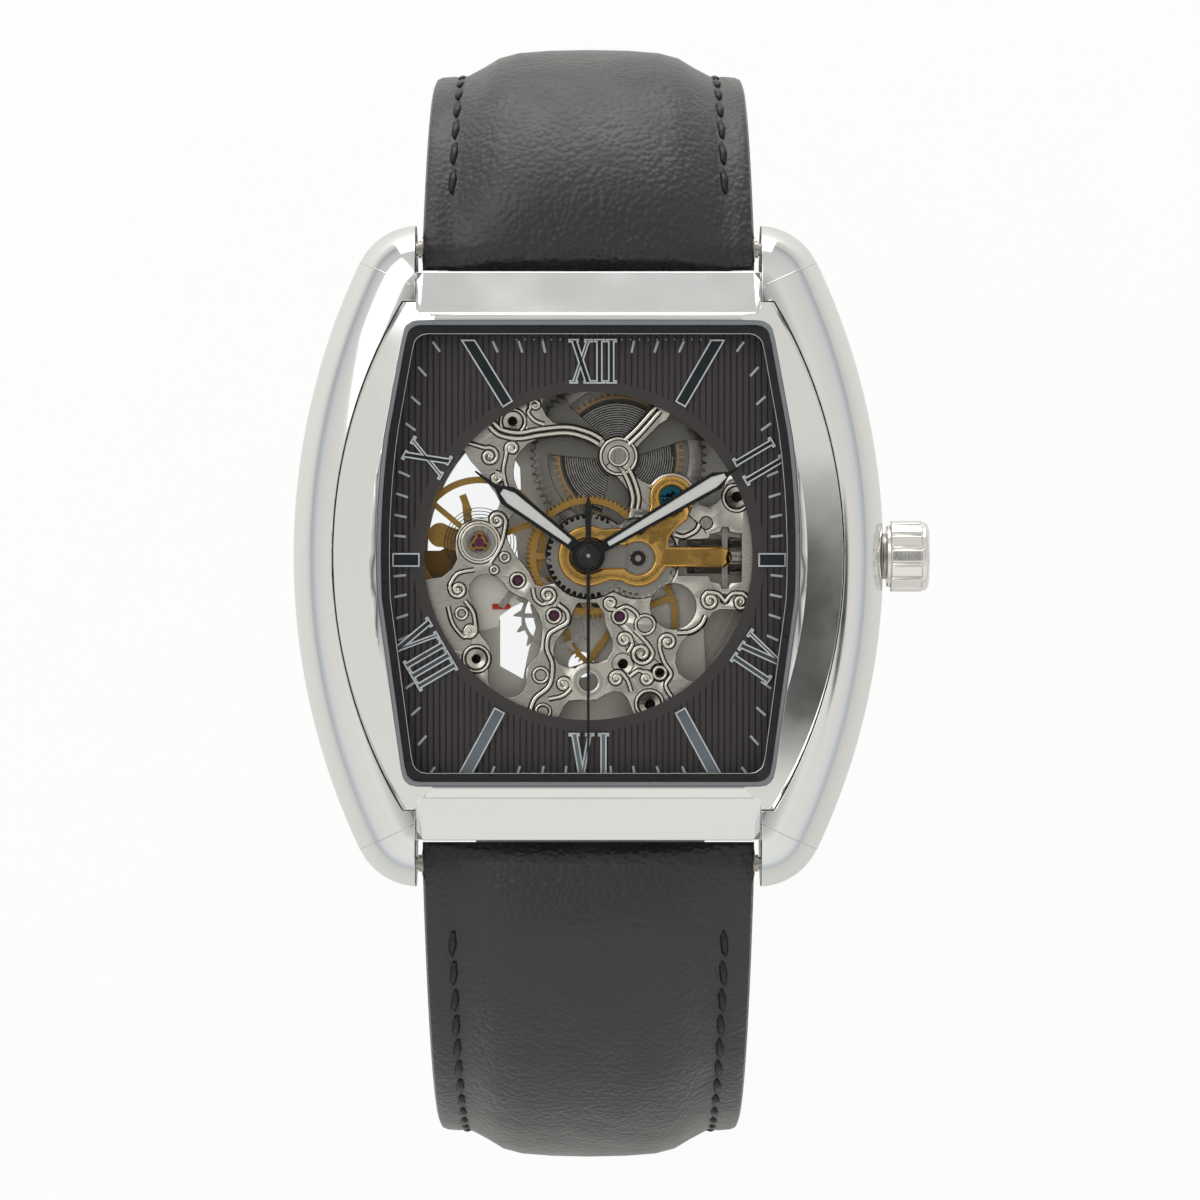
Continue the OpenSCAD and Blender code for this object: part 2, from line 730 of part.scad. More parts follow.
// flat spiral ribbon from r1 to r2
function ribbon_point(r1, pitch, n, i, side) = let (a = 360 * i / n, r = r1 + pitch * i / n + side)
  [r * cos(a), r * sin(a)];
function ribbon(r1, pitch, turns, t, n) = concat(
  [for (i = [0 : turns * n]) ribbon_point(r1, pitch, n, i, t / 2)],
  [for (i = [turns * n : -1 : 0]) ribbon_point(r1, pitch, n, i, -t / 2)]);
function ribbon_gap(r1, pitch, turns, t, n) = min([for (i = [0 : (turns - 1) * n]) for (k = [n - 2 : n + 2])
  norm(ribbon_point(r1, pitch, n, i, t / 2) - ribbon_point(r1, pitch, n, i + k, -t / 2))]);
spring_t = 0.12;
hair_t = 0.08;
echo(mainspring_gap = ribbon_gap(1.3, 0.54, 4.5, spring_t, 24));
echo(hairspring_gap = ribbon_gap(0.75, 0.5, 3.5, hair_t, 24));

// Mainspring coiled in the drum
module mainspring() {
  color("#8f8b85") at(barrel_at, 4.65) linear_extrude(0.7) polygon(ribbon(1.3, 0.54, 4.5, spring_t, 24));
}

// Barrel arbor
module barrel_arbor() {
  color("silver") at(barrel_at, 0) union() {
    translate([0, 0, 2.45]) cylinder(h = 0.35, r = 0.75);
    translate([0, 0, 2.5]) cylinder(h = 4.95, r = 0.45);
    translate([0, 0, 4.65]) cylinder(h = 0.7, r = 1.1);
    translate([0, 0, 7.4]) cylinder(h = 0.1, r = 0.53);
  }
}

// Brass centre wheel
module centre_wheel() {
  color("#b98a3c") translate([0, 0, 6.12]) spoked(80, m_third, a_third, false, 0.55, 0.95, 4, 0.16, 0.33);
}

// Centre pinion on its hollow arbor
module centre_pinion() {
  color("silver") difference() {
    union() {
      translate([0, 0, 5.35]) linear_extrude(0.55) leaf_teeth(14, m_barrel, a_barrel, true);
      translate([0, 0, 4.9]) cylinder(h = 3.9, r = 0.31);
    }
    translate([0, 0, 4]) cylinder(h = 6, r = 0.19);
  }
}

// Brass third wheel
module third_wheel() {
  color("#b98a3c") at(third_at, 4.1) spoked(75, m_fourth, a_third + 180, false, 0.5, 0.8, 5, 0.15, 0.22, 20);
}

// Third pinion
module third_pinion() {
  color("silver") at(third_at, 0) union() {
    translate([0, 0, 6.0]) linear_extrude(0.3) leaf_teeth(10, m_third, a_third + 180, true);
    translate([0, 0, 3.9]) cylinder(h = 2.4, r = arbor_r);
    translate([0, 0, 3.25]) cylinder(h = 3.5, r = pivot_r);
  }
}

// Brass fourth wheel
module fourth_wheel() {
  color("#b98a3c") translate([0, 0, 3.82]) spoked(80, m_escape, a_escape, false, 0.5, 0.8, 4, 0.14, 0.2, 30);
}

// Fourth pinion whose long arbor carries the seconds hand
module fourth_pinion() {
  color("silver") union() {
    translate([0, 0, 4.02]) linear_extrude(0.36) leaf_teeth(10, m_fourth, a_third, true);
    translate([0, 0, 3.78]) cylinder(h = 1.0, r = 0.18);
    translate([0, 0, 3.25]) cylinder(h = 6.43, r = 0.13);
  }
}

// Steel escape wheel with its pinion
module escape_wheel() {
  color("#8d8a86") at(escape_at, 0) {
    translate([0, 0, 5.8]) linear_extrude(0.15) difference() {
      polygon([for (i = [0 : 14]) for (q = [[0, 2.35], [8, 2.85], [10, 2.82], [11.5, 2.3]])
        let (a = 24 * i + q[0] + 3) [q[1] * cos(a), q[1] * sin(a)]]);
      difference() {
        circle(2.05);
        circle(0.5);
        for (a = [0, 90, 180, 270]) rotate(a) translate([0, -0.16]) square([2.3, 0.32]);
      }
      circle(0.19);
    }
    translate([0, 0, 3.78]) linear_extrude(0.25) leaf_teeth(8, m_escape, a_escape + 180, true);
    translate([0, 0, 3.75]) cylinder(h = 2.45, r = arbor_r);
    translate([0, 0, 3.25]) cylinder(h = 3.5, r = pivot_r);
  }
}

// Pallet fork
module pallet_fork() {
  u = (balance_at - pallet_at) / norm(balance_at - pallet_at);
  n = [-u[1], u[0]];
  v = (escape_at - pallet_at) / norm(escape_at - pallet_at);
  w = [-v[1], v[0]];
  color("#8d8a86") at(pallet_at, 0) {
    translate([0, 0, 5.8]) linear_extrude(0.16) union() {
      circle(0.42);
      polygon([-0.12 * n, 0.12 * n, 2.9 * u + 0.12 * n, 2.9 * u - 0.12 * n]);
      polygon([2.8 * u + 0.3 * n, 2.8 * u - 0.3 * n, 3.15 * u - 0.3 * n, 3.15 * u - 0.12 * n,
        3.0 * u, 3.15 * u + 0.12 * n, 3.15 * u + 0.3 * n]);
      polygon([0.4 * v, 0.55 * v + 1.5 * w, 0.1 * v + 1.45 * w, -0.2 * v, 0.1 * v - 1.4 * w, 0.2 * v - 2.2 * w,
        0.65 * v - 2.1 * w, 0.5 * v - 1.4 * w]);
    }
    translate([0, 0, 5.73]) cylinder(h = 0.57, r = 0.18);
    translate([0, 0, 5.38]) cylinder(h = 1.37, r = pivot_r);
  }
}

// Two ruby pallet stones
module pallet_stones() {
  v = (escape_at - pallet_at) / norm(escape_at - pallet_at);
  color("#c0392b") slab(5.82, 5.94) {
    at(pallet_at, 0) rotate(atan2(v[1], v[0])) translate([0.3, 1.15]) square([0.42, 0.25]);
    polygon([[-6.7, -3.32], [-5.55, -3.32], [-5.4, -3.5], [-5.55, -3.7], [-6.7, -3.7]]);
  }
}

// Cock that carries the pallet fork
module pallet_cock() {
  color("#b8b4ab") difference() {
    union() {
      slab(5.48, 5.7) polygon([[-4.3, -1.0], [-4.1, -2.3], [-4.6, -3.2], [-5.4, -3.6], [-6.2, -4.2],
        [-6.3, -4.9],
        [-7.9, -5.3], [-9.6, -4.6], [-10.0, -2.9], [-9.2, -1.2], [-7.0, -0.8]]);
      slab(5.48, plate_z - gap_seat) translate([-9.1, -3.2]) circle(0.6);
    }
    at(pallet_at, 5) cylinder(h = 3, r = hole_r);
  }
}

// Brass balance wheel
module balance_wheel() {
  color("#b98a3c") at(balance_at, 5.0) linear_extrude(0.3) difference() {
    circle(4.62);
    difference() {
      circle(4.15);
      circle(0.75);
      for (a = [20, 140, 260]) rotate(a) translate([0, -0.2]) square([4.4, 0.4]);
    }
    circle(0.22);
  }
}

// Balance staff with its roller
module balance_staff() {
  color("silver") at(balance_at, 0) union() {
    translate([0, 0, 4.3]) cylinder(h = 1.95, r = 0.21);
    translate([0, 0, 5.35]) cylinder(h = 0.25, r = 0.55);
    translate([0, 0, 5.78]) cylinder(h = 0.17, r = 0.45);
    translate([0, 0, 3.6]) cylinder(h = 3.35, r = pivot_r);
    translate([0, 0, 4.5]) cylinder(h = 0.3, r = 0.55);
  }
}

// Hairspring
module hairspring() {
  color("#6d6d72") at(balance_at, 4.6) linear_extrude(0.16) polygon(ribbon(0.75, 0.5, 3.5, hair_t, 24));
}

// Gilt stud carrier and regulator on the cock
module stud_carrier() {
  color("#b98a3c") {
    slab(3.98, 4.2) difference() {
      union() {
        translate([-10.4, 1.5]) circle(0.85);
        polygon([[-10.9, 1.1], [-10.2, 0.6], [-8.6, 0.2], [-8.0, 0.6], [-8.3, 1.6], [-10.0, 2.2]]);
      }
      translate(balance_at) circle(0.5);
    }
    slab(3.98, 4.5) translate([-8.6, 3.7]) rotate(20) square([0.5, 1.3], center = true);
    slab(3.98, 4.2) polygon([[-8.6, 0.9], [-7.9, 1.6], [-8.35, 3.6], [-8.85, 3.6]]);
  }
}

// Balance cock
module balance_cock() {
  color("#b8b4ab") difference() {
    union() {
      slab(3.3, 3.95) polygon([[-6.7, 0.2], [-6.6, 1.6], [-7.3, 2.1], [-8.4, 1.9], [-9.0, 1.2],
        [-10.4, 0.4], [-12.2, 0.4], [-12.6, -2.4],
        [-11.6, -4.6], [-9.6, -4.0], [-8.6, -1.4]]);
      slab(3.3, plate_z - gap_seat) intersection() {
        circle(13.2);
        polygon([[-12.7, -0.2], [-12.35, -1.0], [-11.9, -3.0], [-12.6, -3.4]]);
      }
    }
    at(balance_at, 3) cylinder(h = 3, r = 0.16);
  }
}

// Bridge over the barrel and the train
module train_bridge() {
  color("#b8b4ab") difference() {
    union() {
      slab(bridge_z, bridge_top) difference() {
        circle(13.2);
        polygon([[-4.8, 6.2], [-4.75, 4.7], [-5.9, 4.0], [-5.95, 2.2], [-5.1, 1.4], [-4.9, -0.6],
          [-3.6, -2.2],
          [-4.1, -3.4], [-3.7, -5.0], [-4.2, -6.6], [-4.6, -8.6], [-6.2, -7.7], [-6.2, -4.4], [-8.6, -4.2],
          [-14, -5.9], [-14, 12], [-8.4, 12]]);
        polygon([[8.0, -3.6], [8.3, -9.6], [12, -9.6], [13.5, -4.0]]);
        translate([-0.5, -7.6]) circle(0.9);
      }
      slab(bridge_z, plate_z - gap_seat) intersection() {
        circle(13.2);
        union() {
          translate([-2, -13.5]) square([4, 2]);
          translate([11.3, -2.9]) square([2, 1.2]);
          translate([-5.6, 11.6]) square([3, 2]);
        }
      }
      translate([0, 0, 1.8]) cylinder(h = 1.4, r = 0.85);
      translate([0, 0, 1.64]) cylinder(h = 0.28, r = 1.4);
      at(crown_wheel_at, 2.7) cylinder(h = 0.5, r = 0.57);
      at(crown_wheel_at, 2.65) cylinder(h = 0.13, r = 0.9);
    }
    for (p = [[0, 0], third_at, escape_at]) at(p, 3.2) cylinder(h = 3, r = hole_r + (norm(p) > 0 ? 0 : 0.02));
    at(barrel_at, 2) cylinder(h = 4, r = 0.49);
    translate([6.9, 0, stem_z]) rotate([0, 90, 0]) cylinder(h = 8, r = 1.4);
  }
}

// Winding rotor with a heavy rim
module rotor() {
  color("#a8a49c") difference() {
    union() {
      slab(2.0, 2.3) {
        circle(2.0);
        intersection() {
          circle(12.6);
          rotate(-30) polygon([[0, 0], [16, -8], [16, 16], [0, 18], [-12, 15]]);
        }
      }
      slab(1.72, 2.6) difference() {
        intersection() {
          circle(12.9);
          rotate(-30) polygon([[0, 0], [16, -8], [16, 16], [0, 18], [-12, 15]]);
        }
        circle(10.9);
      }
    }
    translate([0, 0, 1]) cylinder(h = 3, r = 0.9);
    for (a = [-22, 22, 66]) rotate(a) translate([7.6, 0, 1]) cylinder(h = 3, r = 2.0);
  }
}

// Cannon pinion that carries the minute hand
module cannon_pinion() {
  color("silver") difference() {
    union() {
      translate([0, 0, 7.0]) linear_extrude(0.3) leaf_teeth(12, m_minute, a_minute);
      translate([0, 0, 7.0]) cylinder(h = 2.4, r = 0.5);
    }
    translate([0, 0, 6]) cylinder(h = 6, r = 0.33);
  }
}

// Minute wheel and its small pinion
module minute_wheel() {
  color("silver") at(minute_at, 0) difference() {
    union() {
      translate([0, 0, 7.05]) linear_extrude(0.15) wheel_teeth(36, m_minute, a_minute + 180, true);
      translate([0, 0, 7.05]) linear_extrude(0.55) leaf_teeth(10, m_hour, a_minute + 180);
      translate([0, 0, 6.5]) cylinder(h = 1.25, r = 0.18);
    }
  }
}

// Hour wheel with its pipe
module hour_wheel() {
  color("#8d8a86") difference() {
    union() {
      translate([0, 0, 7.38]) linear_extrude(0.2) wheel_teeth(40, m_hour, a_minute, true);
      translate([0, 0, 7.38]) cylinder(h = 1.6, r = 0.8);
    }
    translate([0, 0, 7]) cylinder(h = 4, r = 0.55);
  }
}

// one tapered hand blade along +Y, with its widest place at r
module blade(w0, w1, r, tip, neck) {
  polygon([[-w0 / 2, 0.5], [w0 / 2, 0.5], [w1 / 2, r], [neck / 2, r + 0.95], [0.06, tip], [-0.06, tip],
    [-neck / 2, r + 0.95], [-w1 / 2, r]]);
}

// Hour hand with a sunk luminous inlay
module hour_hand() {
  z = 8.8;
  color("#151515") rotate([0, 0, 53.2]) difference() {
    union() {
      slab(z, z + 0.16) blade(0.75, 1.45, 7.0, hour_len, 0.34);
      slab(z, z + 0.2) circle(1.15);
    }
    slab(z + 0.1, z + 1) polygon([[-0.2, 1.6], [0.2, 1.6], [0.45, 6.7], [0.2, 7.5], [-0.2, 7.5],
      [-0.45, 6.7]]);
    slab(z - 1, z + 1) circle(0.82);
  }
}

// Minute hand with a sunk luminous inlay
module minute_hand() {
  z = 9.16;
  color("#151515") rotate([0, 0, -59.6]) difference() {
    union() {
      slab(z, z + 0.16) blade(0.7, 1.3, 10.3, minute_len, 0.3);
      slab(z, z + 0.2) circle(1.0);
    }
    slab(z + 0.1, z + 1) polygon([[-0.17, 1.6], [0.17, 1.6], [0.4, 10.1], [0.17, 11.0], [-0.17, 11.0],
      [-0.4, 10.1]]);
    slab(z - 1, z + 1) circle(0.52);
  }
}

// Thin seconds hand with a tail
module second_hand() {
  z = 9.5;
  color("#151515") difference() {
    union() {
      slab(z, z + 0.12) polygon([[-0.14, 0], [-0.24, 3.4], [0, 4.3], [0.24, 3.4], [0.14, 0],
        [0.07, -second_len], [-0.07, -second_len]]);
      slab(z, z + 0.3) circle(0.6);
    }
    translate([0, 0, z - 1]) cylinder(h = 1.22, r = 0.15);
  }
}

// path of a strap half in the side view: places for a distance s from the bar
function heading(s, L) = s < L[0] ? L[2] + (90 - L[2]) * s / L[0] : 90 + (L[3] - 90) * (s - L[0]) / L[1];
steps = 60;
function path(L, i = 0, y = 0, z = 0) = i > steps ? []
  : let (ds = (L[0] + L[1]) / steps, s = i * ds, mid = heading(s + ds / 2, L))
    concat([[y, z, heading(s, L), s]], path(L, i + 1, y + ds * cos(mid), z - ds * sin(mid)));

// padded section: side, height over the lining; pad 0 gives a flat band
function section(w, pad, t) = [
  [w / 2 - 0.3, -1.1], [w / 2, -0.7], [w / 2, t - 1.3], [w / 2 - 0.5, t - 1.0], [w / 2 - 2.6, t - 0.95],
  [w / 2 - 3.6, t - 0.9 + 0.4 * pad], [w / 2 - 5.2, t - 0.9 + 0.8 * pad], [w / 6, t - 0.9 + 0.97 * pad],
  [0, t - 0.9 + pad],
  [-w / 6, t - 0.9 + 0.97 * pad], [5.2 - w / 2, t - 0.9 + 0.8 * pad], [3.6 - w / 2, t - 0.9 + 0.4 * pad],
  [2.6 - w / 2, t - 0.95], [0.5 - w / 2, t - 1.0], [-w / 2, t - 1.3], [-w / 2, -0.7], [0.3 - w / 2, -1.1]];

module band(pts_path, w0, w1, pad, pad_end, t_end) {
  n = 17;
  total = pts_path[len(pts_path) - 1][3];
  rings = [for (p = pts_path)
    let (s = p[3], f = s / total,
      w = w0 + (w1 - w0) * min(1, f * 1.15) - (f > 0.96 ? (f - 0.96) * 50 : 0),
      k = min(1, 0.35 + s / 6) * max(0, min(1, (pad_end - s) / 14)),
      t = 2.3 + (t_end - 2.3) * f)
      [for (q = section(w, pad * k, t)) [q[0], p[0] + q[1] * sin(p[2]), p[1] + q[1] * cos(p[2])]]];
  m = len(rings);
  polyhedron(points = [for (r = rings) for (q = r) q],
    faces = concat(
      [[for (j = [n - 1 : -1 : 0]) j]],
      [for (i = [0 : m - 2]) for (j = [0 : n - 1]) let (k = (j + 1) % n) each
        [[i * n + j, (i + 1) * n + k, (i + 1) * n + j], [i * n + j, i * n + k, (i + 1) * n + k]]],
      [[for (j = [0 : n - 1]) (m - 1) * n + j]]), convexity = 6);
}

// lengths of the two bends, then the slope at the bar and at the end
L12 = [21.4, 44.6, 15, 120];
L6 = [34.6, 77.4, 15, 135];
p12 = path(L12);
p6 = path(L6);
len12 = L12[0] + L12[1];
end12 = p12[steps];
bar_back = 1.5;
buckle_y = bar_y + end12[0] - bar_back * cos(end12[2]);
buckle_z = bar_z + end12[1] + bar_back * sin(end12[2]);
buckle_in = strap_end_w + 0.8;

// the buckle's own place: its bar lies along X and its frame points along -Y
module buckle_place() {
  translate([0, buckle_y, buckle_z]) rotate([180 - end12[2], 0, 0]) children();
}

// Strap half at 12 o'clock, which carries the buckle
module strap_12() {
  color("#1c1c1e") difference() {
    union() {
      translate([0, bar_y, bar_z]) rotate([0, 90, 0]) cylinder(h = strap_w - 0.2, r = 1.68, center = true);
      translate([0, bar_y, bar_z]) band(p12, strap_w, strap_end_w, pad_t - 2.3, 44, 2.1);
    }
    translate([0, bar_y, bar_z]) rotate([0, 90, 0]) cylinder(h = 40, r = bar_r + 0.06, center = true);
    buckle_place() rotate([0, 90, 0]) cylinder(h = 40, r = 0.62, center = true);
    // slot that lets the tongue turn with the buckle
    buckle_place() translate([-1.3, -3, -3]) cube([2.6, 5.7, 6]);
  }
}

// Strap half at 6 o'clock, the long tail
module strap_6() {
  color("#1c1c1e") mirror([0, 1, 0]) difference() {
    union() {
      translate([0, bar_y, bar_z]) rotate([0, 90, 0]) cylinder(h = strap_w - 0.2, r = 1.68, center = true);
      translate([0, bar_y, bar_z]) band(p6, strap_w, strap_end_w - 1, pad_t - 2.3, 72, 2.0);
    }
    translate([0, bar_y, bar_z]) rotate([0, 90, 0]) cylinder(h = 40, r = bar_r + 0.06, center = true);
    for (i = [40 : 3 : 55]) translate([0, bar_y + p6[i][0], bar_z + p6[i][1]]) rotate([-p6[i][2], 0, 0])
      cylinder(h = 10, r = 0.9, center = true);
  }
}

// Buckle frame
module buckle_frame() {
  w = buckle_in;
  color("silver") buckle_place() union() {
    for (s = [-1, 1]) translate([s * (w / 2 + 0.9), 0, 0]) difference() {
      translate([-0.8, -10, -1.2]) cube([1.6, 11.4, 2.4]);
      rotate([0, 90, 0]) cylinder(h = 4, r = 0.62, center = true);
    }
    translate([0, -10.6, 0]) rotate([0, 90, 0]) cylinder(h = w + 3.4, r = 1.25, center = true);
  }
}

// Bar of the buckle
module buckle_bar() {
  color("gray") buckle_place() rotate([0, 90, 0]) cylinder(h = buckle_in + 3.3, r = 0.58, center = true);
}

// Tongue of the buckle
module tongue() {
  color("silver") buckle_place() difference() {
    union() {
      rotate([0, 90, 0]) cylinder(h = 2.0, r = 1.15, center = true);
      translate([-0.8, -12, -2.25]) cube([1.6, 12.4, 0.95]);
      translate([-0.8, -1.3, -1.6]) cube([1.6, 1.7, 0.8]);
    }
    rotate([0, 90, 0]) cylinder(h = 4, r = 0.62, center = true);
  }
}

// leather loop round the band at place i of the 12 o'clock path
module keeper(i, low, h, wide) {
  p = p12[i];
  w = strap_w + (strap_end_w - strap_w) * min(1, p[3] / len12 * 1.15);
  translate([0, bar_y + p[0], bar_z + p[1]]) rotate([-p[2], 0, 0]) difference() {
    translate([-w / 2 - 1.3, -wide / 2, low - 1.1]) cube([w + 2.6, wide, h + 2.2]);
    translate([-w / 2 - 0.25, -5, low]) cube([w + 0.5, 10, h]);
  }
}

// Keeper sewn next to the buckle
module fixed_keeper() {
  color("#1c1c1e") keeper(53, -1.17, 4.6, 4);
}

// Keeper that slides along the strap
module loose_keeper() {
  color("#1c1c1e") keeper(41, -1.32, 4.8, 4.5);
}

case_middle();
bezel();
crystal();
crystal_gasket();
case_back();
back_crystal();
back_screws();
crown();
crown_tube();
spring_bars();
dial();
numerals();
batons();
main_plate();
plate_jewels();
shock_block();
shock_spring();
setting_cover();
cover_screw();
winding_stem();
winding_pinion();
sliding_pinion();
setting_lever();
crown_wheel();
ratchet_wheel();
barrel_wheel();
barrel_drum();
mainspring();
barrel_arbor();
centre_wheel();
centre_pinion();
third_wheel();
third_pinion();
fourth_wheel();
fourth_pinion();
escape_wheel();
pallet_fork();
pallet_stones();
pallet_cock();
balance_wheel();
balance_staff();
hairspring();
stud_carrier();
balance_cock();
train_bridge();
rotor();
cannon_pinion();
minute_wheel();
hour_wheel();
hour_hand();
minute_hand();
second_hand();
strap_12();
strap_6();
buckle_frame();
buckle_bar();
tongue();
fixed_keeper();
loose_keeper();
yoke();
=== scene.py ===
import math
import bpy
import bmesh
from mathutils import Matrix, Vector


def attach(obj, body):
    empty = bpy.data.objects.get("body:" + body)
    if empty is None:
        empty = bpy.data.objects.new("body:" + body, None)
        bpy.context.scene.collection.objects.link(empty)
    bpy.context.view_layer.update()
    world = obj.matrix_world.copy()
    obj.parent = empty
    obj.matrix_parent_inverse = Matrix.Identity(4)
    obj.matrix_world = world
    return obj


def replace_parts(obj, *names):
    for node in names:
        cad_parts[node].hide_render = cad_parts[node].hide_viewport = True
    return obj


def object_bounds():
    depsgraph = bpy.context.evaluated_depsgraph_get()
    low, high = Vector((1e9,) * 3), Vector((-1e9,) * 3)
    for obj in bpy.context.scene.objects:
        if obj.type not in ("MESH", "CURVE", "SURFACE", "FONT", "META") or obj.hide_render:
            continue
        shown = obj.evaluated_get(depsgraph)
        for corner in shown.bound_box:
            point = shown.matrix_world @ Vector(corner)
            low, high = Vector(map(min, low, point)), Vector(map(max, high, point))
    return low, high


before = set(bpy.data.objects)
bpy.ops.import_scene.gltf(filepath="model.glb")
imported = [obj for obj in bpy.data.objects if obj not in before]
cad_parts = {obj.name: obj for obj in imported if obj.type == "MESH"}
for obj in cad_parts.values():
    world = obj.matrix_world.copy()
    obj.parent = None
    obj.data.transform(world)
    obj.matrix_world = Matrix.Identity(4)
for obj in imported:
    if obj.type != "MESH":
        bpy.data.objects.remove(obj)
cad_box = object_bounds()

# Camera: straight above the dial, framed as the photograph, with the hands' axis a little
# above the picture's middle. The photograph shows 83.3 mm of the dial's level.
mm = 0.001
camera_height = 420 * mm
camera_data = bpy.data.cameras.new("camera")
camera_data.sensor_width = 36
camera_data.lens = 36 * camera_height / (83.33 * mm)
camera_data.clip_start = 10 * mm
camera_data.clip_end = 10
camera = bpy.data.objects.new("camera", camera_data)
camera.location = (0.81 * mm, -3.06 * mm, 8.2 * mm + camera_height)
bpy.context.collection.objects.link(camera)
bpy.context.scene.camera = camera
bpy.context.scene.view_settings.view_transform = "Standard"


def linear(code):
    """An sRGB hex colour as linear red, green, blue and alpha."""
    parts = [int(code[i:i + 2], 16) / 255 for i in (1, 3, 5)]
    return (*[c / 12.92 if c <= 0.04045 else ((c + 0.055) / 1.055) ** 2.4 for c in parts], 1)


def add(tree, kind, inputs=None, **settings):
    """A new node with its settings; an input is a value or another node's output."""
    node = tree.nodes.new(kind)
    for name, value in settings.items():
        setattr(node, name, value)
    for name, value in (inputs or {}).items():
        if isinstance(value, bpy.types.NodeSocket):
            tree.links.new(value, node.inputs[name])
        else:
            node.inputs[name].default_value = value
    return node


# Light tent: white cloth all round. Towards 12 o'clock it is a little greyer, overhead it has
# the grey hole that the lens looks through, and on the crown's side a dark flap stands open.
# Polished steel shows these as soft bands. The lens itself sees plain white.
world = bpy.data.worlds.new("light tent")
world.use_nodes = True
bpy.context.scene.world = world
tent = world.node_tree
tent.nodes.clear()
place = add(tent, "ShaderNodeTexCoord")
parts = add(tent, "ShaderNodeSeparateXYZ", {"Vector": place.outputs["Generated"]})
cloth = add(tent, "ShaderNodeValToRGB", {"Fac": parts.outputs["Z"]})
cloth.color_ramp.elements[0].color = linear("#c3c8cc")
cloth.color_ramp.elements[1].color = linear("#6f6f6f")
for level, shade in ((0.06, "#cdd2d5"), (0.2, "#e6e8e8"), (0.42, "#efeeea"), (0.62, "#f1efea"),
                     (0.8, "#f6f4ef"), (0.91, "#d9d8d5"), (0.975, "#c6c5c3"), (0.993, "#b4b4b3")):
    cloth.color_ramp.elements.new(level).color = linear(shade)
towards = add(tent, "ShaderNodeMapRange", {"Value": parts.outputs["Y"], "From Min": -0.9,
                                           "From Max": 0.9, "To Min": 1.08, "To Max": 0.82})
flap = add(tent, "ShaderNodeMapping", {"Vector": place.outputs["Generated"],
                                       "Location": (-0.77, 0.05, -1.15), "Scale": (1, 1, 1.8)})
edge = add(tent, "ShaderNodeTexNoise", {"Vector": place.outputs["Generated"], "Scale": 9.0,
                                        "Detail": 3.0})
away = add(tent, "ShaderNodeVectorMath", {0: flap.outputs[0]}, operation="LENGTH")
ragged = add(tent, "ShaderNodeMath", {0: edge.outputs["Fac"], 1: 0.16, 2: away.outputs["Value"]},
             operation="MULTIPLY_ADD")
dark = add(tent, "ShaderNodeMapRange", {"Value": ragged.outputs[0], "From Min": 0.17, "From Max": 0.22,
                                        "To Min": 0.08, "To Max": 1.0})
shade = add(tent, "ShaderNodeMath", {0: towards.outputs[0], 1: dark.outputs[0]}, operation="MULTIPLY")
shaded = add(tent, "ShaderNodeVectorMath", {0: cloth.outputs["Color"]}, operation="SCALE")
tent.links.new(shade.outputs[0], shaded.inputs["Scale"])
paths = add(tent, "ShaderNodeLightPath")
glow = add(tent, "ShaderNodeBackground", {"Color": shaded.outputs[0], "Strength": 0.95})
plain = add(tent, "ShaderNodeBackground", {"Color": (1, 1, 1, 1), "Strength": 1.0})
seen = add(tent, "ShaderNodeMixShader", {"Fac": paths.outputs["Is Camera Ray"]})
tent.links.new(glow.outputs[0], seen.inputs[1])
tent.links.new(plain.outputs[0], seen.inputs[2])
add(tent, "ShaderNodeOutputWorld", {"Surface": seen.outputs[0]})

# Lamps: a soft box at the upper left, and a lit card that stands low behind 12 o'clock and draws
# the highlight over the raised end of the strap. Each is a square, with its place and side in
# metres and its power in watts.
for name, spot, size, power in (("softbox_left", (-0.35, 0.32, 0.45), 0.45, 0.9),
                                ("card_behind", (-0.02, 0.36, -0.05), 0.32, 0.8)):
    lamp_data = bpy.data.lights.new(name, "AREA")
    lamp_data.size = size
    lamp_data.energy = power
    lamp = bpy.data.objects.new(name, lamp_data)
    lamp.location = spot
    lamp.rotation_mode = "QUATERNION"
    lamp.rotation_quaternion = (-Vector(spot)).to_track_quat("-Z", "Y")
    bpy.context.collection.objects.link(lamp)


def material(name, colour, metallic=0.0, roughness=0.5):
    """A new material with its node tree and shader."""
    made = bpy.data.materials.new(name)
    made.use_nodes = True
    shader = made.node_tree.nodes["Principled BSDF"]
    shader.inputs["Base Color"].default_value = linear(colour)
    shader.inputs["Metallic"].default_value = metallic
    shader.inputs["Roughness"].default_value = roughness
    return made, made.node_tree, shader


# Table: matt white card, laid flat just under the lowest point of the hanging strap. The lens sees
# nearly all of it as plain white, and the small rest keeps the watch's faint shadow.
table_gap, table_side, plain_share = 2 * mm, 3, 0.92
card, tree, shader = material("white card", "#f4f4f2", 0, 0.8)
fibres = add(tree, "ShaderNodeTexNoise", {"Scale": 400.0})
tone = add(tree, "ShaderNodeMix", {"Factor": fibres.outputs["Fac"], "A": linear("#f1f1ef"),
                                   "B": linear("#f7f7f6")}, data_type="RGBA")
tree.links.new(tone.outputs["Result"], shader.inputs["Base Color"])
white = add(tree, "ShaderNodeEmission", {"Color": (1, 1, 1, 1), "Strength": 1.0})
paths = add(tree, "ShaderNodeLightPath")
share = add(tree, "ShaderNodeMath", {0: paths.outputs["Is Camera Ray"], 1: plain_share},
            operation="MULTIPLY")
seen = add(tree, "ShaderNodeMixShader", {"Fac": share.outputs[0]})
tree.links.new(shader.outputs[0], seen.inputs[1])
tree.links.new(white.outputs[0], seen.inputs[2])
tree.links.new(seen.outputs[0], tree.nodes["Material Output"].inputs["Surface"])
bpy.ops.mesh.primitive_plane_add(size=table_side, location=(0, 0, cad_box[0][2] - table_gap))
floor = bpy.context.object
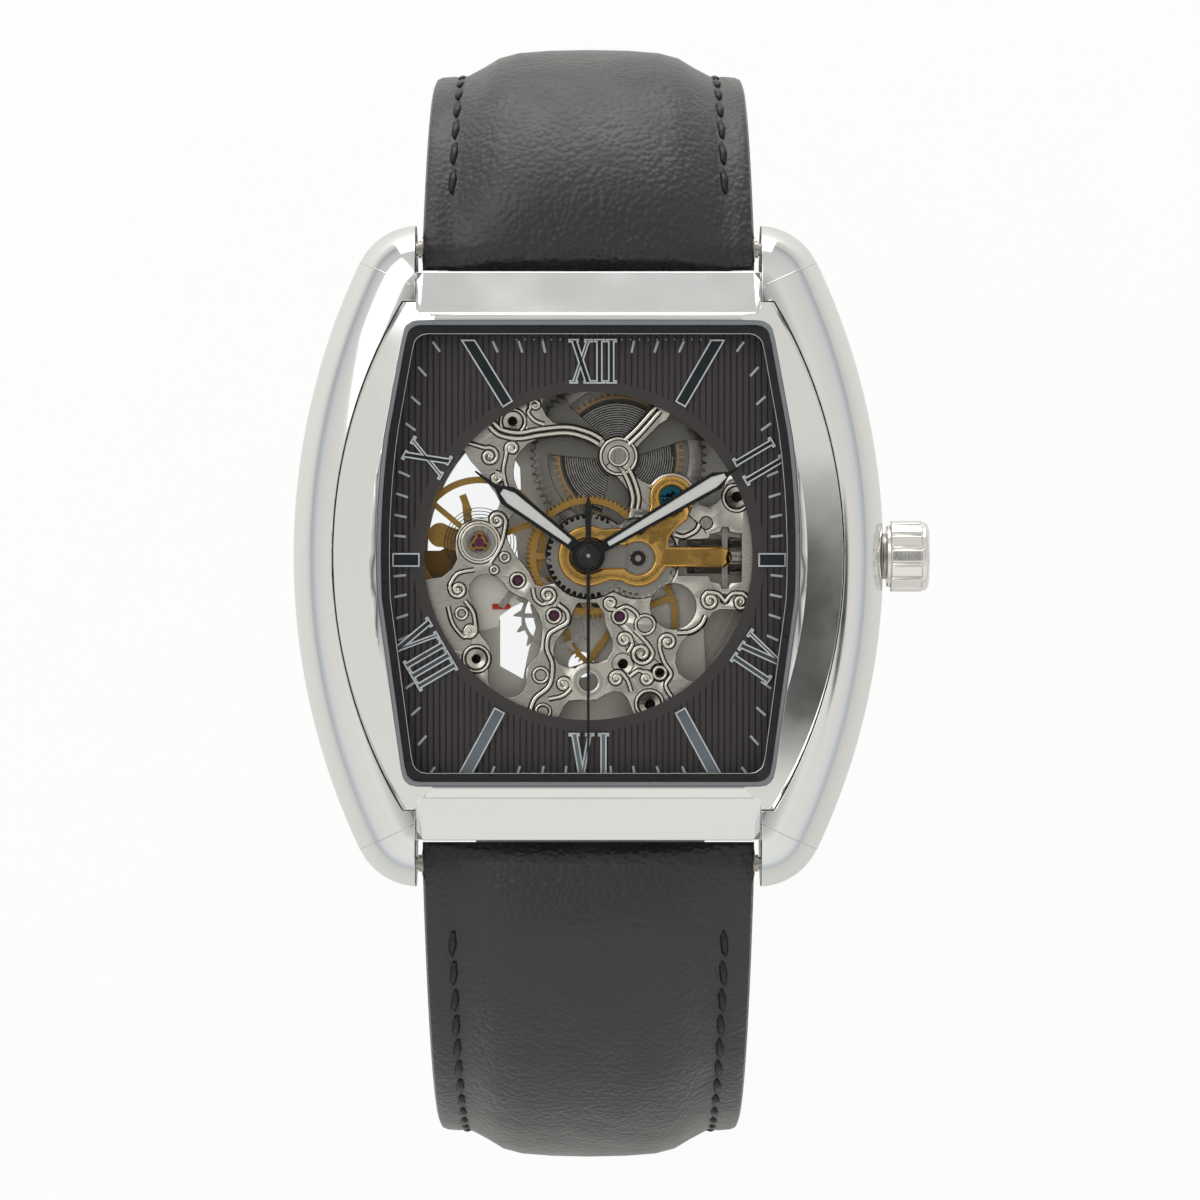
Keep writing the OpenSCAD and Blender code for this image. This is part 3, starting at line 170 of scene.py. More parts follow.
floor.name = "table"
floor.data.materials.append(card)


def grain(tree, shader, low, high, size, stretch=(1, 1, 1), lift=0.0):
    """Roughness that wanders between low and high over marks of one size, which may stand up. Real
    polishing and grinding marks are finer, and are drawn as coarse as they need to be to show."""
    place = add(tree, "ShaderNodeTexCoord")
    drawn = add(tree, "ShaderNodeMapping", {"Vector": place.outputs["Object"], "Scale": stretch})
    marks = add(tree, "ShaderNodeTexNoise", {"Vector": drawn.outputs[0], "Scale": 1 / size,
                                             "Detail": 5.0})
    spread = add(tree, "ShaderNodeMapRange", {"Value": marks.outputs["Fac"], "From Min": 0.3,
                                              "From Max": 0.7, "To Min": low, "To Max": high})
    tree.links.new(spread.outputs[0], shader.inputs["Roughness"])
    if lift:
        raised = add(tree, "ShaderNodeBump", {"Height": marks.outputs["Fac"], "Strength": 1.0,
                                              "Distance": lift})
        tree.links.new(raised.outputs[0], shader.inputs["Normal"])


def two_tone(tree, shader, factor, first, second):
    """Base colour that goes from the first to the second as the factor goes from 0 to 1."""
    tone = add(tree, "ShaderNodeMix", {"Factor": factor, "A": linear(first), "B": linear(second)},
               data_type="RGBA")
    tree.links.new(tone.outputs["Result"], shader.inputs["Base Color"])


def radius_from(tree, x, y):
    """Distance from an upright axis."""
    place = add(tree, "ShaderNodeTexCoord")
    centred = add(tree, "ShaderNodeVectorMath", {0: place.outputs["Object"], 1: (x, y, 0)},
                  operation="SUBTRACT")
    level = add(tree, "ShaderNodeVectorMath", {0: centred.outputs[0], 1: (1, 1, 0)},
                operation="MULTIPLY")
    return add(tree, "ShaderNodeVectorMath", {0: level.outputs[0]}, operation="LENGTH").outputs["Value"]


def turned(tree, shader, x, y, low, high, pitch, lift):
    """Fine rings left by the lathe round an upright axis."""
    reach = radius_from(tree, x, y)
    along = add(tree, "ShaderNodeCombineXYZ", {"X": reach})
    rings = add(tree, "ShaderNodeTexNoise", {"Vector": along.outputs[0], "Scale": 1 / pitch,
                                             "Detail": 3.0})
    spread = add(tree, "ShaderNodeMapRange", {"Value": rings.outputs["Fac"], "From Min": 0.3,
                                              "From Max": 0.7, "To Min": low, "To Max": high})
    tree.links.new(spread.outputs[0], shader.inputs["Roughness"])
    raised = add(tree, "ShaderNodeBump", {"Height": rings.outputs["Fac"], "Strength": 1.0,
                                          "Distance": lift})
    tree.links.new(raised.outputs[0], shader.inputs["Normal"])
    return reach


def piece(name, made, data, body):
    """A finished piece from a bmesh or a mesh, with its materials and its body."""
    if isinstance(data, bmesh.types.BMesh):
        shaped = bpy.data.meshes.new(name)
        data.to_mesh(shaped)
        data.free()
        data = shaped
    for one in made:
        data.materials.append(one)
    new = bpy.data.objects.new(name, data)
    bpy.context.collection.objects.link(new)
    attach(new, body)
    return new


def merged(node, flat=0.2):
    """A CAD node's mesh with its corners joined and its flat faces made one."""
    bm = bmesh.new()
    bm.from_mesh(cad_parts[node].data)
    bmesh.ops.remove_doubles(bm, verts=bm.verts, dist=0.0004 * mm)
    bmesh.ops.dissolve_limit(bm, angle_limit=math.radians(flat), verts=bm.verts, edges=bm.edges)
    for face in bm.faces:
        face.material_index = 0
    return bm


def eased(node, made, width, body, steps=2, choose=None):
    """A copy of a CAD node whose sharp edges are broken as a polisher breaks them. The function
    called choose gives each face the number of its material. Faces with many corners are cut up
    first, because the bevel can fold them over their own holes."""
    most_corners, sharp = 12, math.radians(25)
    bm = merged(node)
    bmesh.ops.triangulate(bm, faces=[face for face in bm.faces if len(face.verts) > most_corners])
    for face in bm.faces:
        face.smooth = True
        if choose:
            face.material_index = choose(face)
    for edge in bm.edges:
        edge.smooth = edge.calc_face_angle(0) < sharp
    new = piece("finished_" + node, made, bm, body)
    bevel = new.modifiers.new("broken edges", "BEVEL")
    bevel.width = width
    bevel.segments = steps
    bevel.limit_method = "ANGLE"
    bevel.angle_limit = sharp
    bevel.use_clamp_overlap = False
    bevel.material = 0
    new.modifiers.new("even shading", "WEIGHTED_NORMAL").weight = 100
    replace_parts(new, node)
    return new


# Case: stainless steel, milled, then mirror polished on a felt wheel, which rounds the edges and
# leaves long soft waves in the reflections. The bezel is pressed on, and its ledge under the glass
# is painted satin black as shade, which shows as a dark band.
polished, tree, shader = material("mirror polished stainless steel", "#e9e9e8", 1, 0.08)
grain(tree, shader, 0.06, 0.14, 5 * mm)
# Painted shade: the satin black on the bezel's ledge under the glass stands for the shade there.
ledge_painted_shade, tree, shader = material("satin black painted shade on the ledge", "#1d1c1e", 0, 0.35)
grain(tree, shader, 0.25, 0.45, 0.6 * mm)
flank_axis, flank_tilt = 50.4 * mm, math.radians(25)
wing_tube, wing_radius, wing_level = 4.6 * mm, 43.05 * mm, 5.6 * mm
wing_end, wing_end_x = 18.5 * mm, 11.82 * mm
glass_seat, ledge_half_length = 10.15 * mm, 16.5 * mm
dial_arc = 65 * mm


def flank_normal(p):
    """Which way the bezel's conical flanks face at a point."""
    across = Vector((p.x + math.copysign(flank_axis, p.x), p.y, 0)).normalized()
    return across * math.sin(flank_tilt) + Vector((0, 0, math.cos(flank_tilt)))


def wing_normal(p):
    """Which way the case's bent round wings, or their ball ends, face at a point."""
    side = math.copysign(1, p.x)
    axis_x = side * (wing_end_x - math.sqrt(wing_radius ** 2 - wing_end ** 2))
    middle = Vector((axis_x, 0, wing_level)) + Vector((p.x - axis_x, p.y, 0)).normalized() * wing_radius
    if abs(middle.y) > wing_end:
        middle = Vector((side * wing_end_x, math.copysign(wing_end, p.y), wing_level))
    out = p - middle
    return out.normalized() if abs(out.length - wing_tube) < 0.1 * mm else Vector((0, 0, -1))


def trued(new, surface):
    """Shades every face that lies close to a true surface with that surface's own normals."""
    close = 0.985
    view = bpy.context.evaluated_depsgraph_get()
    data = bpy.data.meshes.new_from_object(new.evaluated_get(view))
    normals = [Vector(corner.vector) for corner in data.corner_normals]
    for face in data.polygons:
        for i in face.loop_indices:
            facing = surface(data.vertices[data.loops[i].vertex_index].co)
            if facing.dot(face.normal) > close:
                normals[i] = facing
    data.normals_split_custom_set(normals)
    new.modifiers.clear()
    new.data = data


def ledge_shade_faces(face):
    """1 for faces of the bezel inside the dial's outline and under the glass, which get the painted
    shade, and 0 elsewhere.
    """
    return int(all(v.co.z < glass_seat and abs(v.co.y) < ledge_half_length
                   and abs(v.co.x) < math.sqrt(dial_arc ** 2 - v.co.y ** 2) - flank_axis + 0.1 * mm
                   for v in face.verts))


trued(eased("case_middle", [polished], 0.06 * mm, "case"), wing_normal)
trued(eased("bezel", [polished, ledge_painted_shade], 0.07 * mm, "case", choose=ledge_shade_faces),
      flank_normal)

# Case back: turned from the same steel and held by screws. The lathe leaves fine rings, which
# spread the light into a fan.


def dress(made, *nodes):
    """Gives CAD nodes a material."""
    for node in nodes:
        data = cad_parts[node].data
        data.materials.clear()
        data.materials.append(made)


turned_steel, tree, shader = material("turned stainless steel", "#c9c7c2", 1, 0.3)
turned(tree, shader, 0, 0, 0.2, 0.38, 0.12 * mm, 0.004 * mm)
dress(turned_steel, "case_back")

# Crown: turned and fluted from the same steel and screwed on the winding stem. Fine tool marks
# stay in the flutes and make them a little softer than the case.
crown_steel, tree, shader = material("fluted stainless steel", "#eeece8", 1, 0.16)
grain(tree, shader, 0.12, 0.28, 0.5 * mm, (4, 1, 1), 0.003 * mm)
eased("crown", [crown_steel], 0.09 * mm, "stem")

# Small steel pieces: screws, pins, pinions, levers and winding wheels, turned or stamped and then
# ground, and pressed or screwed in their places. Fine scratches scatter the light.
ground, tree, shader = material("ground steel", "#b3afa8", 1, 0.3)
grain(tree, shader, 0.2, 0.42, 0.15 * mm, (1, 0.1, 1), 0.002 * mm)
dress(ground, "back_screws", "crown_tube", "spring_bars", "buckle_bar", "shock_block",
      "winding_stem", "winding_pinion", "sliding_pinion", "setting_lever", "crown_wheel",
      "centre_pinion", "third_pinion", "fourth_pinion", "escape_wheel", "pallet_fork",
      "balance_staff", "barrel_arbor", "yoke", "ratchet_wheel")

# Glasses: flat mineral glass with ground edges, one over the dial and one in the back. The upper
# one is pressed in with a thin grey polymer seal. A coating takes away most of its reflection,
# which the low index stands for.
glass = bpy.data.materials.new("flat mineral glass")
glass.use_nodes = True
tree = glass.node_tree
tree.nodes.clear()
mirror = add(tree, "ShaderNodeBsdfGlossy", {"Color": (1, 1, 1, 1), "Roughness": 0.01})
clear = add(tree, "ShaderNodeBsdfTransparent", {"Color": (0.985, 0.99, 0.99, 1)})
sheen = add(tree, "ShaderNodeFresnel", {"IOR": 1.2})
mix = add(tree, "ShaderNodeMixShader", {"Fac": sheen.outputs[0]})
tree.links.new(clear.outputs[0], mix.inputs[1])
tree.links.new(mirror.outputs[0], mix.inputs[2])
add(tree, "ShaderNodeOutputMaterial", {"Surface": mix.outputs[0]})
dress(glass, "crystal", "back_crystal")
seal, tree, shader = material("grey polymer seal", "#83888d", 0, 0.35)
grain(tree, shader, 0.25, 0.45, 1 * mm)
dress(seal, "crystal_gasket")

# Dial: a thin brass plate, stamped with fine upright ribs and lacquered a satin brown black, with
# painted shade that makes it darker in the grooves. Its edge is tucked under the bezel, and a plain
# ring, given by its radii and heights in millimetres, borders the round opening over the movement.
dial_low, dial_top = 8.0 * mm, 8.4 * mm
ring_in, ring_out, ring_low, ring_top = 11.4, 12.2, 8.05, 8.43
overlap, tucked = 0.05 * mm, 0.2 * mm
rib_pitch, rib_groove, rib_depth, rib_reach = 0.43 * mm, 0.08 * mm, 0.05 * mm, 14.7 * mm


def tonneau(grow):
    """Outline of the dial: two shallow arcs, flat ends and small round corners."""
    radius, corner = dial_arc + grow, 1.0 * mm
    low, high = -15.9 * mm - grow + corner, 16.2 * mm + grow - corner
    outline = []
    for side, ends, angle in ((1, (low, high), 270), (-1, (high, low), 90)):
        for turn, y in enumerate(ends):
            middle = side * (math.sqrt(radius ** 2 - y ** 2) - flank_axis - corner)
            for i in range(6):
                a = math.radians(angle + 90 * turn + 18 * i)
                outline.append((middle + corner * math.cos(a), y + corner * math.sin(a)))
            for i in range(1, 12 - 12 * turn):
                between = y + (ends[1] - y) * i / 12
                outline.append((side * (math.sqrt(radius ** 2 - between ** 2) - flank_axis), between))
    return outline


def plate(outline, hole, low, top):
    """A flat solid between two heights, with one round hole."""
    bm = bmesh.new()
    rim = [bm.verts.new((x, y, low)) for x, y in outline]
    edges = [bm.edges.new((rim[i - 1], rim[i])) for i in range(len(rim))]
    circle = bmesh.ops.create_circle(bm, radius=hole, segments=144,
                                     matrix=Matrix.Translation((0, 0, low)))
    edges += list({edge for v in circle["verts"] for edge in v.link_edges})
    bmesh.ops.triangle_fill(bm, use_beauty=True, edges=edges)
    grown = bmesh.ops.extrude_face_region(bm, geom=list(bm.faces), use_keep_orig=True)
    corners = [v for v in grown["geom"] if isinstance(v, bmesh.types.BMVert)]
    bmesh.ops.translate(bm, vec=(0, 0, top - low), verts=corners)
    bmesh.ops.recalc_face_normals(bm, faces=bm.faces)
    return bm


def spun(profile, steps):
    """A turned shape from radii and heights in millimetres."""
    bm = bmesh.new()
    points = [bm.verts.new((r * mm, 0, z * mm)) for r, z in profile]
    lines = [bm.edges.new(pair) for pair in zip(points, points[1:])]
    bmesh.ops.spin(bm, geom=points + lines, angle=math.tau, steps=steps, axis=(0, 0, 1), cent=(0, 0, 0))
    bmesh.ops.remove_doubles(bm, verts=bm.verts, dist=0.0005 * mm)
    bmesh.ops.recalc_face_normals(bm, faces=bm.faces)
    return bm


lacquer, tree, shader = material("satin brown black lacquer with painted groove shade", "#3a3536", 0, 0.4)
grain(tree, shader, 0.36, 0.48, 1.5 * mm)
# Painted shade: the lacquer's colour goes darker towards the floor of the grooves.
place = add(tree, "ShaderNodeTexCoord")
parts = add(tree, "ShaderNodeSeparateXYZ", {"Vector": place.outputs["Object"]})
depth = add(tree, "ShaderNodeMapRange", {"Value": parts.outputs["Z"], "From Min": dial_top - rib_depth,
                                         "From Max": dial_top})
two_tone(tree, shader, depth.outputs[0], "#231f20", "#423c3d")
bm = plate(tonneau(tucked), ring_out * mm - overlap, dial_low, dial_top)
ribs = int(rib_reach / rib_pitch)
for k in range(-ribs, ribs + 1):
    for shift in (-rib_groove, 0, rib_groove):
        bmesh.ops.bisect_plane(bm, geom=bm.verts[:] + bm.edges[:] + bm.faces[:], dist=1e-8,
                               plane_co=(k * rib_pitch + shift, 0, 0), plane_no=(1, 0, 0))
for v in bm.verts:
    off_groove = abs(v.co.x - round(v.co.x / rib_pitch) * rib_pitch)
    if off_groove < 0.001 * mm and v.co.z > dial_top - 0.01 * mm:
        v.co.z -= rib_depth
dial_face = piece("dial_face", [lacquer], bm, "case")
bm = spun([(ring_in, ring_low), (ring_out, ring_low), (ring_out, ring_top), (ring_in, ring_top),
           (ring_in, ring_low)], 144)
dial_border = piece("dial_border", [lacquer], bm, "case")
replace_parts(dial_face, "dial")
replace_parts(dial_border, "dial")

# Minute track: pale grey ink, pad printed on the finished dial. Dashes between the applied hours
# point at the centre and follow the dial's bent sides, and a fine row of dots runs along the upper
# edge.
ink, tree, shader = material("pale grey pad print", "#d2d4d8", 0, 0.5)
grain(tree, shader, 0.4, 0.6, 0.5 * mm)
track_top, track_low, track_side, track_corner = 14.52 * mm, -15.0 * mm, 13.1 * mm, 10.9 * mm
side_radius = 52 * mm
dash_long, dash_wide, ink_thick = 0.85 * mm, 0.16 * mm, 0.012 * mm
dots, first_dot, dot_pitch, dot_row, dot_radius = 24, -5.0 * mm, 0.61 * mm, 15.02 * mm, 0.06 * mm
bm = bmesh.new()
for minute in range(2, 59):
    if minute % 5 == 0:
        continue
    a = math.radians(90 - 6 * minute)
    c, s = math.cos(a), math.sin(a)
    reach = (track_top if s > 0 else track_low) / s if abs(s) > 0.001 else 1
    if abs(reach * c) > track_corner:
        reach = track_side / abs(c)
        for _ in range(8):
            reach = (track_side - (reach * s) ** 2 / (2 * side_radius)) / abs(c)
    place = Matrix.Translation((reach * c, reach * s, dial_top + ink_thick / 2))
    place = place @ Matrix.Rotation(a, 4, "Z")
    bmesh.ops.create_cube(bm, size=1,
                          matrix=place @ Matrix.Diagonal((dash_long, dash_wide, ink_thick, 1)))
for i in range(dots):
    place = Matrix.Translation((first_dot + dot_pitch * i, dot_row, dial_top))
    bmesh.ops.create_cone(bm, cap_ends=True, segments=8, radius1=dot_radius,
                          radius2=dot_radius - 0.01 * mm, depth=2 * ink_thick, matrix=place)
piece("minute_track", [ink], bm, "case")

# Applied numerals and bars: stamped brass, rhodium plated, their feet riveted through the dial. The
# edges are diamond cut bright, and the middle is sunk and lacquered dark. A painted reflection makes
# the lacquer lighter towards 6 o'clock.
rim_width, sunk = 0.1 * mm, 0.08 * mm
bright, tree, shader = material("diamond cut rhodium plating", "#f4f8fb", 1, 0.32)
grain(tree, shader, 0.26, 0.4, 1 * mm)
fill, tree, shader = material("blue grey fill lacquer, paler towards 6 o'clock", "#252d32", 0, 0.15)
grain(tree, shader, 0.1, 0.25, 1 * mm)
# Painted reflection: the fill's colour goes lighter towards 6 o'clock.
place = add(tree, "ShaderNodeTexCoord")
parts = add(tree, "ShaderNodeSeparateXYZ", {"Vector": place.outputs["Object"]})
reflection_share = add(tree, "ShaderNodeMapRange", {"Value": parts.outputs["Y"], "From Min": -4 * mm,
                                         "From Max": -14 * mm})
two_tone(tree, shader, reflection_share.outputs[0], "#222a2f", "#858e97")
for node in ("numerals", "batons"):
    bm = merged(node, flat=2)
    tops = [face for face in bm.faces if face.normal.z > 0.9]
    bmesh.ops.inset_region(bm, faces=tops, thickness=rim_width, use_even_offset=True,
                           use_boundary=True)
    bmesh.ops.inset_region(bm, faces=tops, thickness=0.005 * mm, depth=-sunk, use_even_offset=True)
    for face in tops:
        face.material_index = 1
    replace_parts(piece("applied_" + node, [bright, fill], bm, "case"), node)

# Hands: steel blanks in gloss black lacquer, pressed on their pipes. The hour and minute hands have
# a sunk middle filled with matt white luminous paste, whose grains make it a little uneven. The
# seconds hand has a turned hub, in which the tip of its bare steel pivot shows.
for node, paste_level in (("hour_hand", 8.9 * mm), ("minute_hand", 9.26 * mm)):
    hand, tree, shader = material("gloss black lacquer with paste of the " + node, "#121213", 0, 0.2)
    grain(tree, shader, 0.15, 0.3, 1 * mm)
    place = add(tree, "ShaderNodeTexCoord")
    parts = add(tree, "ShaderNodeSeparateXYZ", {"Vector": place.outputs["Object"]})
    off = add(tree, "ShaderNodeMath", {0: parts.outputs["Z"], 1: paste_level, 2: 0.01 * mm},
              operation="COMPARE")
    facing = add(tree, "ShaderNodeNewGeometry")
    up = add(tree, "ShaderNodeSeparateXYZ", {"Vector": facing.outputs["Normal"]})
    flat = add(tree, "ShaderNodeMath", {0: up.outputs["Z"], 1: 0.8}, operation="GREATER_THAN")
    inlay = add(tree, "ShaderNodeMath", {0: off.outputs[0], 1: flat.outputs[0]}, operation="MULTIPLY")
    crumbs = add(tree, "ShaderNodeTexNoise", {"Vector": place.outputs["Object"],
                                              "Scale": 1 / (0.12 * mm)})
    paste = add(tree, "ShaderNodeMix", {"Factor": crumbs.outputs["Fac"], "A": linear("#eceeed"),
                                        "B": linear("#fdfefd")}, data_type="RGBA")
    tone = add(tree, "ShaderNodeMix", {"Factor": inlay.outputs[0], "A": linear("#121213"),
                                       "B": paste.outputs["Result"]}, data_type="RGBA")
    tree.links.new(tone.outputs["Result"], shader.inputs["Base Color"])
    dress(hand, node)
black, tree, shader = material("gloss black lacquer", "#161617", 0, 0.2)
grain(tree, shader, 0.15, 0.3, 1 * mm)
eased("second_hand", [black], 0.03 * mm, "seconds_train")
hub_profile = [(0, 9.8), (0.14, 9.82), (0.18, 9.85), (0.24, 9.82), (0.32, 9.78), (0.42, 9.8),
               (0.47, 9.85), (0.53, 9.81), (0.6, 9.78), (0.72, 9.76), (0.78, 9.8), (0.84, 9.76),
               (0.86, 9.6)]
bm = spun(hub_profile, 48)
for face in bm.faces:
    face.smooth = True
hub, tree, shader = material("gloss black lacquer with a bare pivot", "#161617", 0, 0.2)
reach = turned(tree, shader, 0, 0, 0.12, 0.32, 0.1 * mm, 0.01 * mm)
pivot = add(tree, "ShaderNodeMapRange", {"Value": reach, "From Min": 0.11 * mm,
                                         "From Max": 0.14 * mm})
two_tone(tree, shader, pivot.outputs[0], "#b9babd", "#161617")
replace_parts(piece("second_hand_hub", [hub], bm, "seconds_train"), "second_hand")

# Plate and bridges: brass, cut out, nickel plated and brushed in one direction, then screwed
# together. The broken edges catch the light, and painted shade darkens the floors of the blind holes
# and the lower walls of the plate's windows. The balance cock has a dark gilt finish instead.
nickel, tree, shader = material("brushed nickel plating with painted shade in the holes", "#d5d0c5", 1, 0.3)
grain(tree, shader, 0.2, 0.4, 0.5 * mm, (1, 14, 1), 0.004 * mm)
# Painted shade: below 6.8 mm the plate's colour fades to near black, in the blind holes and the
# windows' lower walls.
place = add(tree, "ShaderNodeTexCoord")
parts = add(tree, "ShaderNodeSeparateXYZ", {"Vector": place.outputs["Object"]})
depth = add(tree, "ShaderNodeMapRange", {"Value": parts.outputs["Z"], "From Min": 6.55 * mm,
                                         "From Max": 6.8 * mm})
two_tone(tree, shader, depth.outputs[0], "#1a1714", "#cbc6bd")
eased("main_plate", [nickel], 0.06 * mm, "case", 1)
# Painted light: the bridges' nickel is lighter than the plate's to make up for the shade they lie in.
bridge_nickel_painted_light, tree, shader = material("satin nickel plating, painted lighter against its shade", "#e4dfd6", 1, 0.4)
grain(tree, shader, 0.34, 0.5, 0.5 * mm, (14, 1, 1), 0.004 * mm)
dress(bridge_nickel_painted_light, "train_bridge", "pallet_cock")
cock_gilt, tree, shader = material("dark gilt brass", "#8a673c", 1, 0.36)
grain(tree, shader, 0.28, 0.46, 0.5 * mm, (14, 1, 1), 0.004 * mm)
dress(cock_gilt, "balance_cock")

# Scrollwork of the plate: raised, rounded ridges with spiral ends, pressed up in the same metal and
# burnished, so that they shine above the brushed plate. Painted shade lies along their feet as a
# dark line.
# In millimetres, a spiral is its middle, its radius and the ridge that leads to it, outer end
# first, a ridge is its points, and a ring is its middle and radius.
plate_top = 7.35 * mm
spiral_half, ridge_half, double_half, ring_half = 0.15 * mm, 0.18 * mm, 0.17 * mm, 0.11 * mm
double_apart, shade_past, shade_deep = 0.21, 0.09 * mm, 0.1 * mm
coil_turns, coil_steps, coil_drawn_in = 1.5, 28, 0.75
dome_radius, dome_rise = 0.17 * mm, 0.03 * mm
spirals = [
    (-3.71, 10.52, 0.4, [(-3.08, 9.17), (-3.71, 9.41), (-4.19, 9.96)]),
    (-6.9, 6.94, 0.67, [(-8.34, 7.89), (-7.62, 7.65)]),
    (-5.31, 7.49, 0.48, [(-5.63, 4.54), (-5.92, 5.82), (-5.76, 6.86)]),
    (-6.43, 5.42, 0.43, []),
    (-6.35, 2.47, 0.64, [(-6.82, -0.48), (-6.11, 0.72), (-5.79, 1.99)]),
    (-9.06, -2.31, 0.61, [(-7.94, -0.96), (-9.06, -1.2), (-9.61, -1.91)]),
    (-8.26, -5.18, 0.48, [(-9.77, -3.51), (-9.45, -4.7), (-8.74, -5.58)]),
    (-8.26, -5.21, 0.48, [(-8.58, -3.11), (-8.02, -3.91), (-7.86, -4.78)]),
    (-2.84, -2.71, 0.61, [(-3.87, -2.23), (-3.71, -2.95), (-3.24, -3.35)]),
    (-1.72, -8.93, 0.51, [(-2.76, -9.96), (-1.8, -9.73), (-1.24, -9.25)]),
    (1.55, -3.27, 0.48, [(3.54, -4.38), (3.3, -3.91), (2.66, -3.51), (2.02, -3.75)]),
    (2.5, -5.82, 0.51, [(2.74, -6.7), (3.06, -6.14)]),
    (3.7, -6.78, 0.8, [(3.22, -5.18), (4.02, -5.98), (4.45, -6.62)]),
    (5.53, -5.98, 0.61, [(5.85, -9.89), (5.37, -9.01), (5.77, -8.21), (5.29, -7.41), (4.97, -6.46)]),
    (8.48, -3.11, 0.61, [(9.52, -3.19), (9.04, -2.63), (8.32, -2.5)]),
    (10.63, -3.19, 0.61, [(9.52, -3.19), (10.0, -2.63), (10.63, -2.58)]),
    (1.95, -8.53, 0.51, [(2.98, -9.41), (2.74, -8.69), (2.34, -8.13)]),
    (4.02, -8.53, 0.51, [(2.9, -8.37), (3.46, -7.97)])]
ridges = [
    [(-2.12, -3.35), (-1.48, -3.91), (-1.48, -4.62), (-2.28, -5.1), (-2.76, -5.5), (-2.89, -6.46),
     (-2.5, -7.57), (-2.72, -9.0), (-3.71, -9.9), (-4.11, -10.92)],
    [(6.17, -5.34), (7.13, -5.26), (7.84, -4.78), (8.16, -4.15)],
    [(6.01, 1.51), (6.65, 1.36), (7.45, 1.75), (7.73, 2.23)]]
double_ridges = [
    [(-6.74, 9.17), (-6.11, 8.61), (-4.83, 8.37), (-3.4, 8.61), (-1.48, 8.77), (0.0, 8.4), (0.9, 7.9)],
    [(2.66, 7.9), (3.5, 8.7), (4.3, 9.6), (4.9, 10.3)],
    [(2.6, 6.0), (3.0, 5.18), (3.3, 4.07), (3.2, 3.2)]]
rings = [
    (-2.39, -4.15, 0.46), (-4.91, -1.7, 0.46), (2.17, -4.22, 0.46), (3.94, -4.78, 0.66),
    (4.26, -10.3, 0.95), (10.32, 4.07, 0.92), (-7.8, -7.16, 0.9), (-5.26, 9.36, 0.86),
    (-7.59, 0.96, 1.4), (-7.59, 0.96, 1.2), (-3.32, -8.29, 0.5), (-3.16, -10.84, 0.5),
    (4.97, -8.13, 0.42), (-8.82, -3.99, 0.38), (-6.55, -0.96, 0.24), (-5.82, -0.08, 0.3),
    (2.1, 6.94, 0.62), (2.1, 6.94, 1.25), (0, -8.75, 1.0)]


def smooth_run(points, steps=6):
    """A rounded line through the points."""
    ends = [points[0], *points, points[-1]]
    run = []
    for p, q, r, s in zip(ends, ends[1:], ends[2:], ends[3:]):
        for i in range(steps):
            t = i / steps
            run.append(tuple(0.5 * (2 * b + (c - a) * t + (2 * a - 5 * b + 4 * c - d) * t * t
                                    + (3 * b - a - 3 * c + d) * t ** 3)
                             for a, b, c, d in zip(p, q, r, s)))
    return [*run, points[-1]]


def tube(curve, run, half, level, closed=False):
    """One more round wire in a curve, through points in millimetres."""
    wire = curve.splines.new("POLY")
    wire.points.add(len(run) - 1)
    for point, (x, y) in zip(wire.points, run):
        point.co = (x * mm, y * mm, level, 1)
        point.radius = half
    wire.use_cyclic_u = closed


def ridge(run, half, closed=False):
    """A burnished ridge of the plate with a dark line of painted shade along its foot."""
    tube(curve, run, half, plate_top, closed)
    tube(painted_shade_curve, run, half + shade_past, plate_top - shade_deep, closed)


def wire_mesh(name, curve):
    """The mesh of a curve of wires."""
    curve.dimensions = "3D"
    curve.bevel_depth = 1.0
    curve.bevel_resolution = 2
    curve.use_fill_caps = True
    holder = bpy.data.objects.new(name, curve)
    data = bpy.data.meshes.new_from_object(holder)
    bpy.data.objects.remove(holder)
    data.name = name
    for face in data.polygons:
        face.use_smooth = True
    return data


burnished, tree, shader = material("burnished nickel plating", "#fbf5ea", 1, 0.14)
grain(tree, shader, 0.08, 0.22, 0.4 * mm)
curve = bpy.data.curves.new("scrollwork", "CURVE")
painted_shade_curve = bpy.data.curves.new("painted_shade_lines", "CURVE")
for x, y, radius, lead in spirals:
    start = math.atan2(lead[-1][1] - y, lead[-1][0] - x) if lead else 2.0
    turn = -1
    if len(lead) > 1:
        (px, py), (qx, qy) = lead[-2], lead[-1]
        turn = 1 if (px - x) * (qy - y) - (py - y) * (qx - x) > 0 else -1
    coil = []
    for i in range(1, coil_steps + 1):
        a = start + turn * math.tau * coil_turns * i / coil_steps
        r = radius * (1 - coil_drawn_in * i / coil_steps)
        coil.append((x + r * math.cos(a), y + r * math.sin(a)))
    ridge(smooth_run([*lead, coil[0]])[:-1] + coil if lead else coil, spiral_half)
for run in ridges:
    ridge(smooth_run(run), ridge_half)
for run in double_ridges:
    line = smooth_run(run)
    for side in (-double_apart, double_apart):
        shifted = []
        for (ax, ay), (bx, by) in zip(line, line[1:]):
            long = math.hypot(bx - ax, by - ay)
            shifted.append((ax - side * (by - ay) / long, ay + side * (bx - ax) / long))
        ridge(shifted, double_half)
for x, y, radius in rings:
    round_trip = [math.tau * i / 40 for i in range(40)]
    ridge([(x + radius * math.cos(a), y + radius * math.sin(a)) for a in round_trip], ring_half, True)
bm = bmesh.new()
bm.from_mesh(wire_mesh("scrollwork", curve))
for x, y, _, _ in spirals:
    middle = Matrix.Translation((x * mm, y * mm, plate_top + dome_rise))
    bmesh.ops.create_uvsphere(bm, u_segments=14, v_segments=8, radius=dome_radius, matrix=middle)
for face in bm.faces:
    face.smooth = True
piece("scrollwork", [burnished], bm, "case")
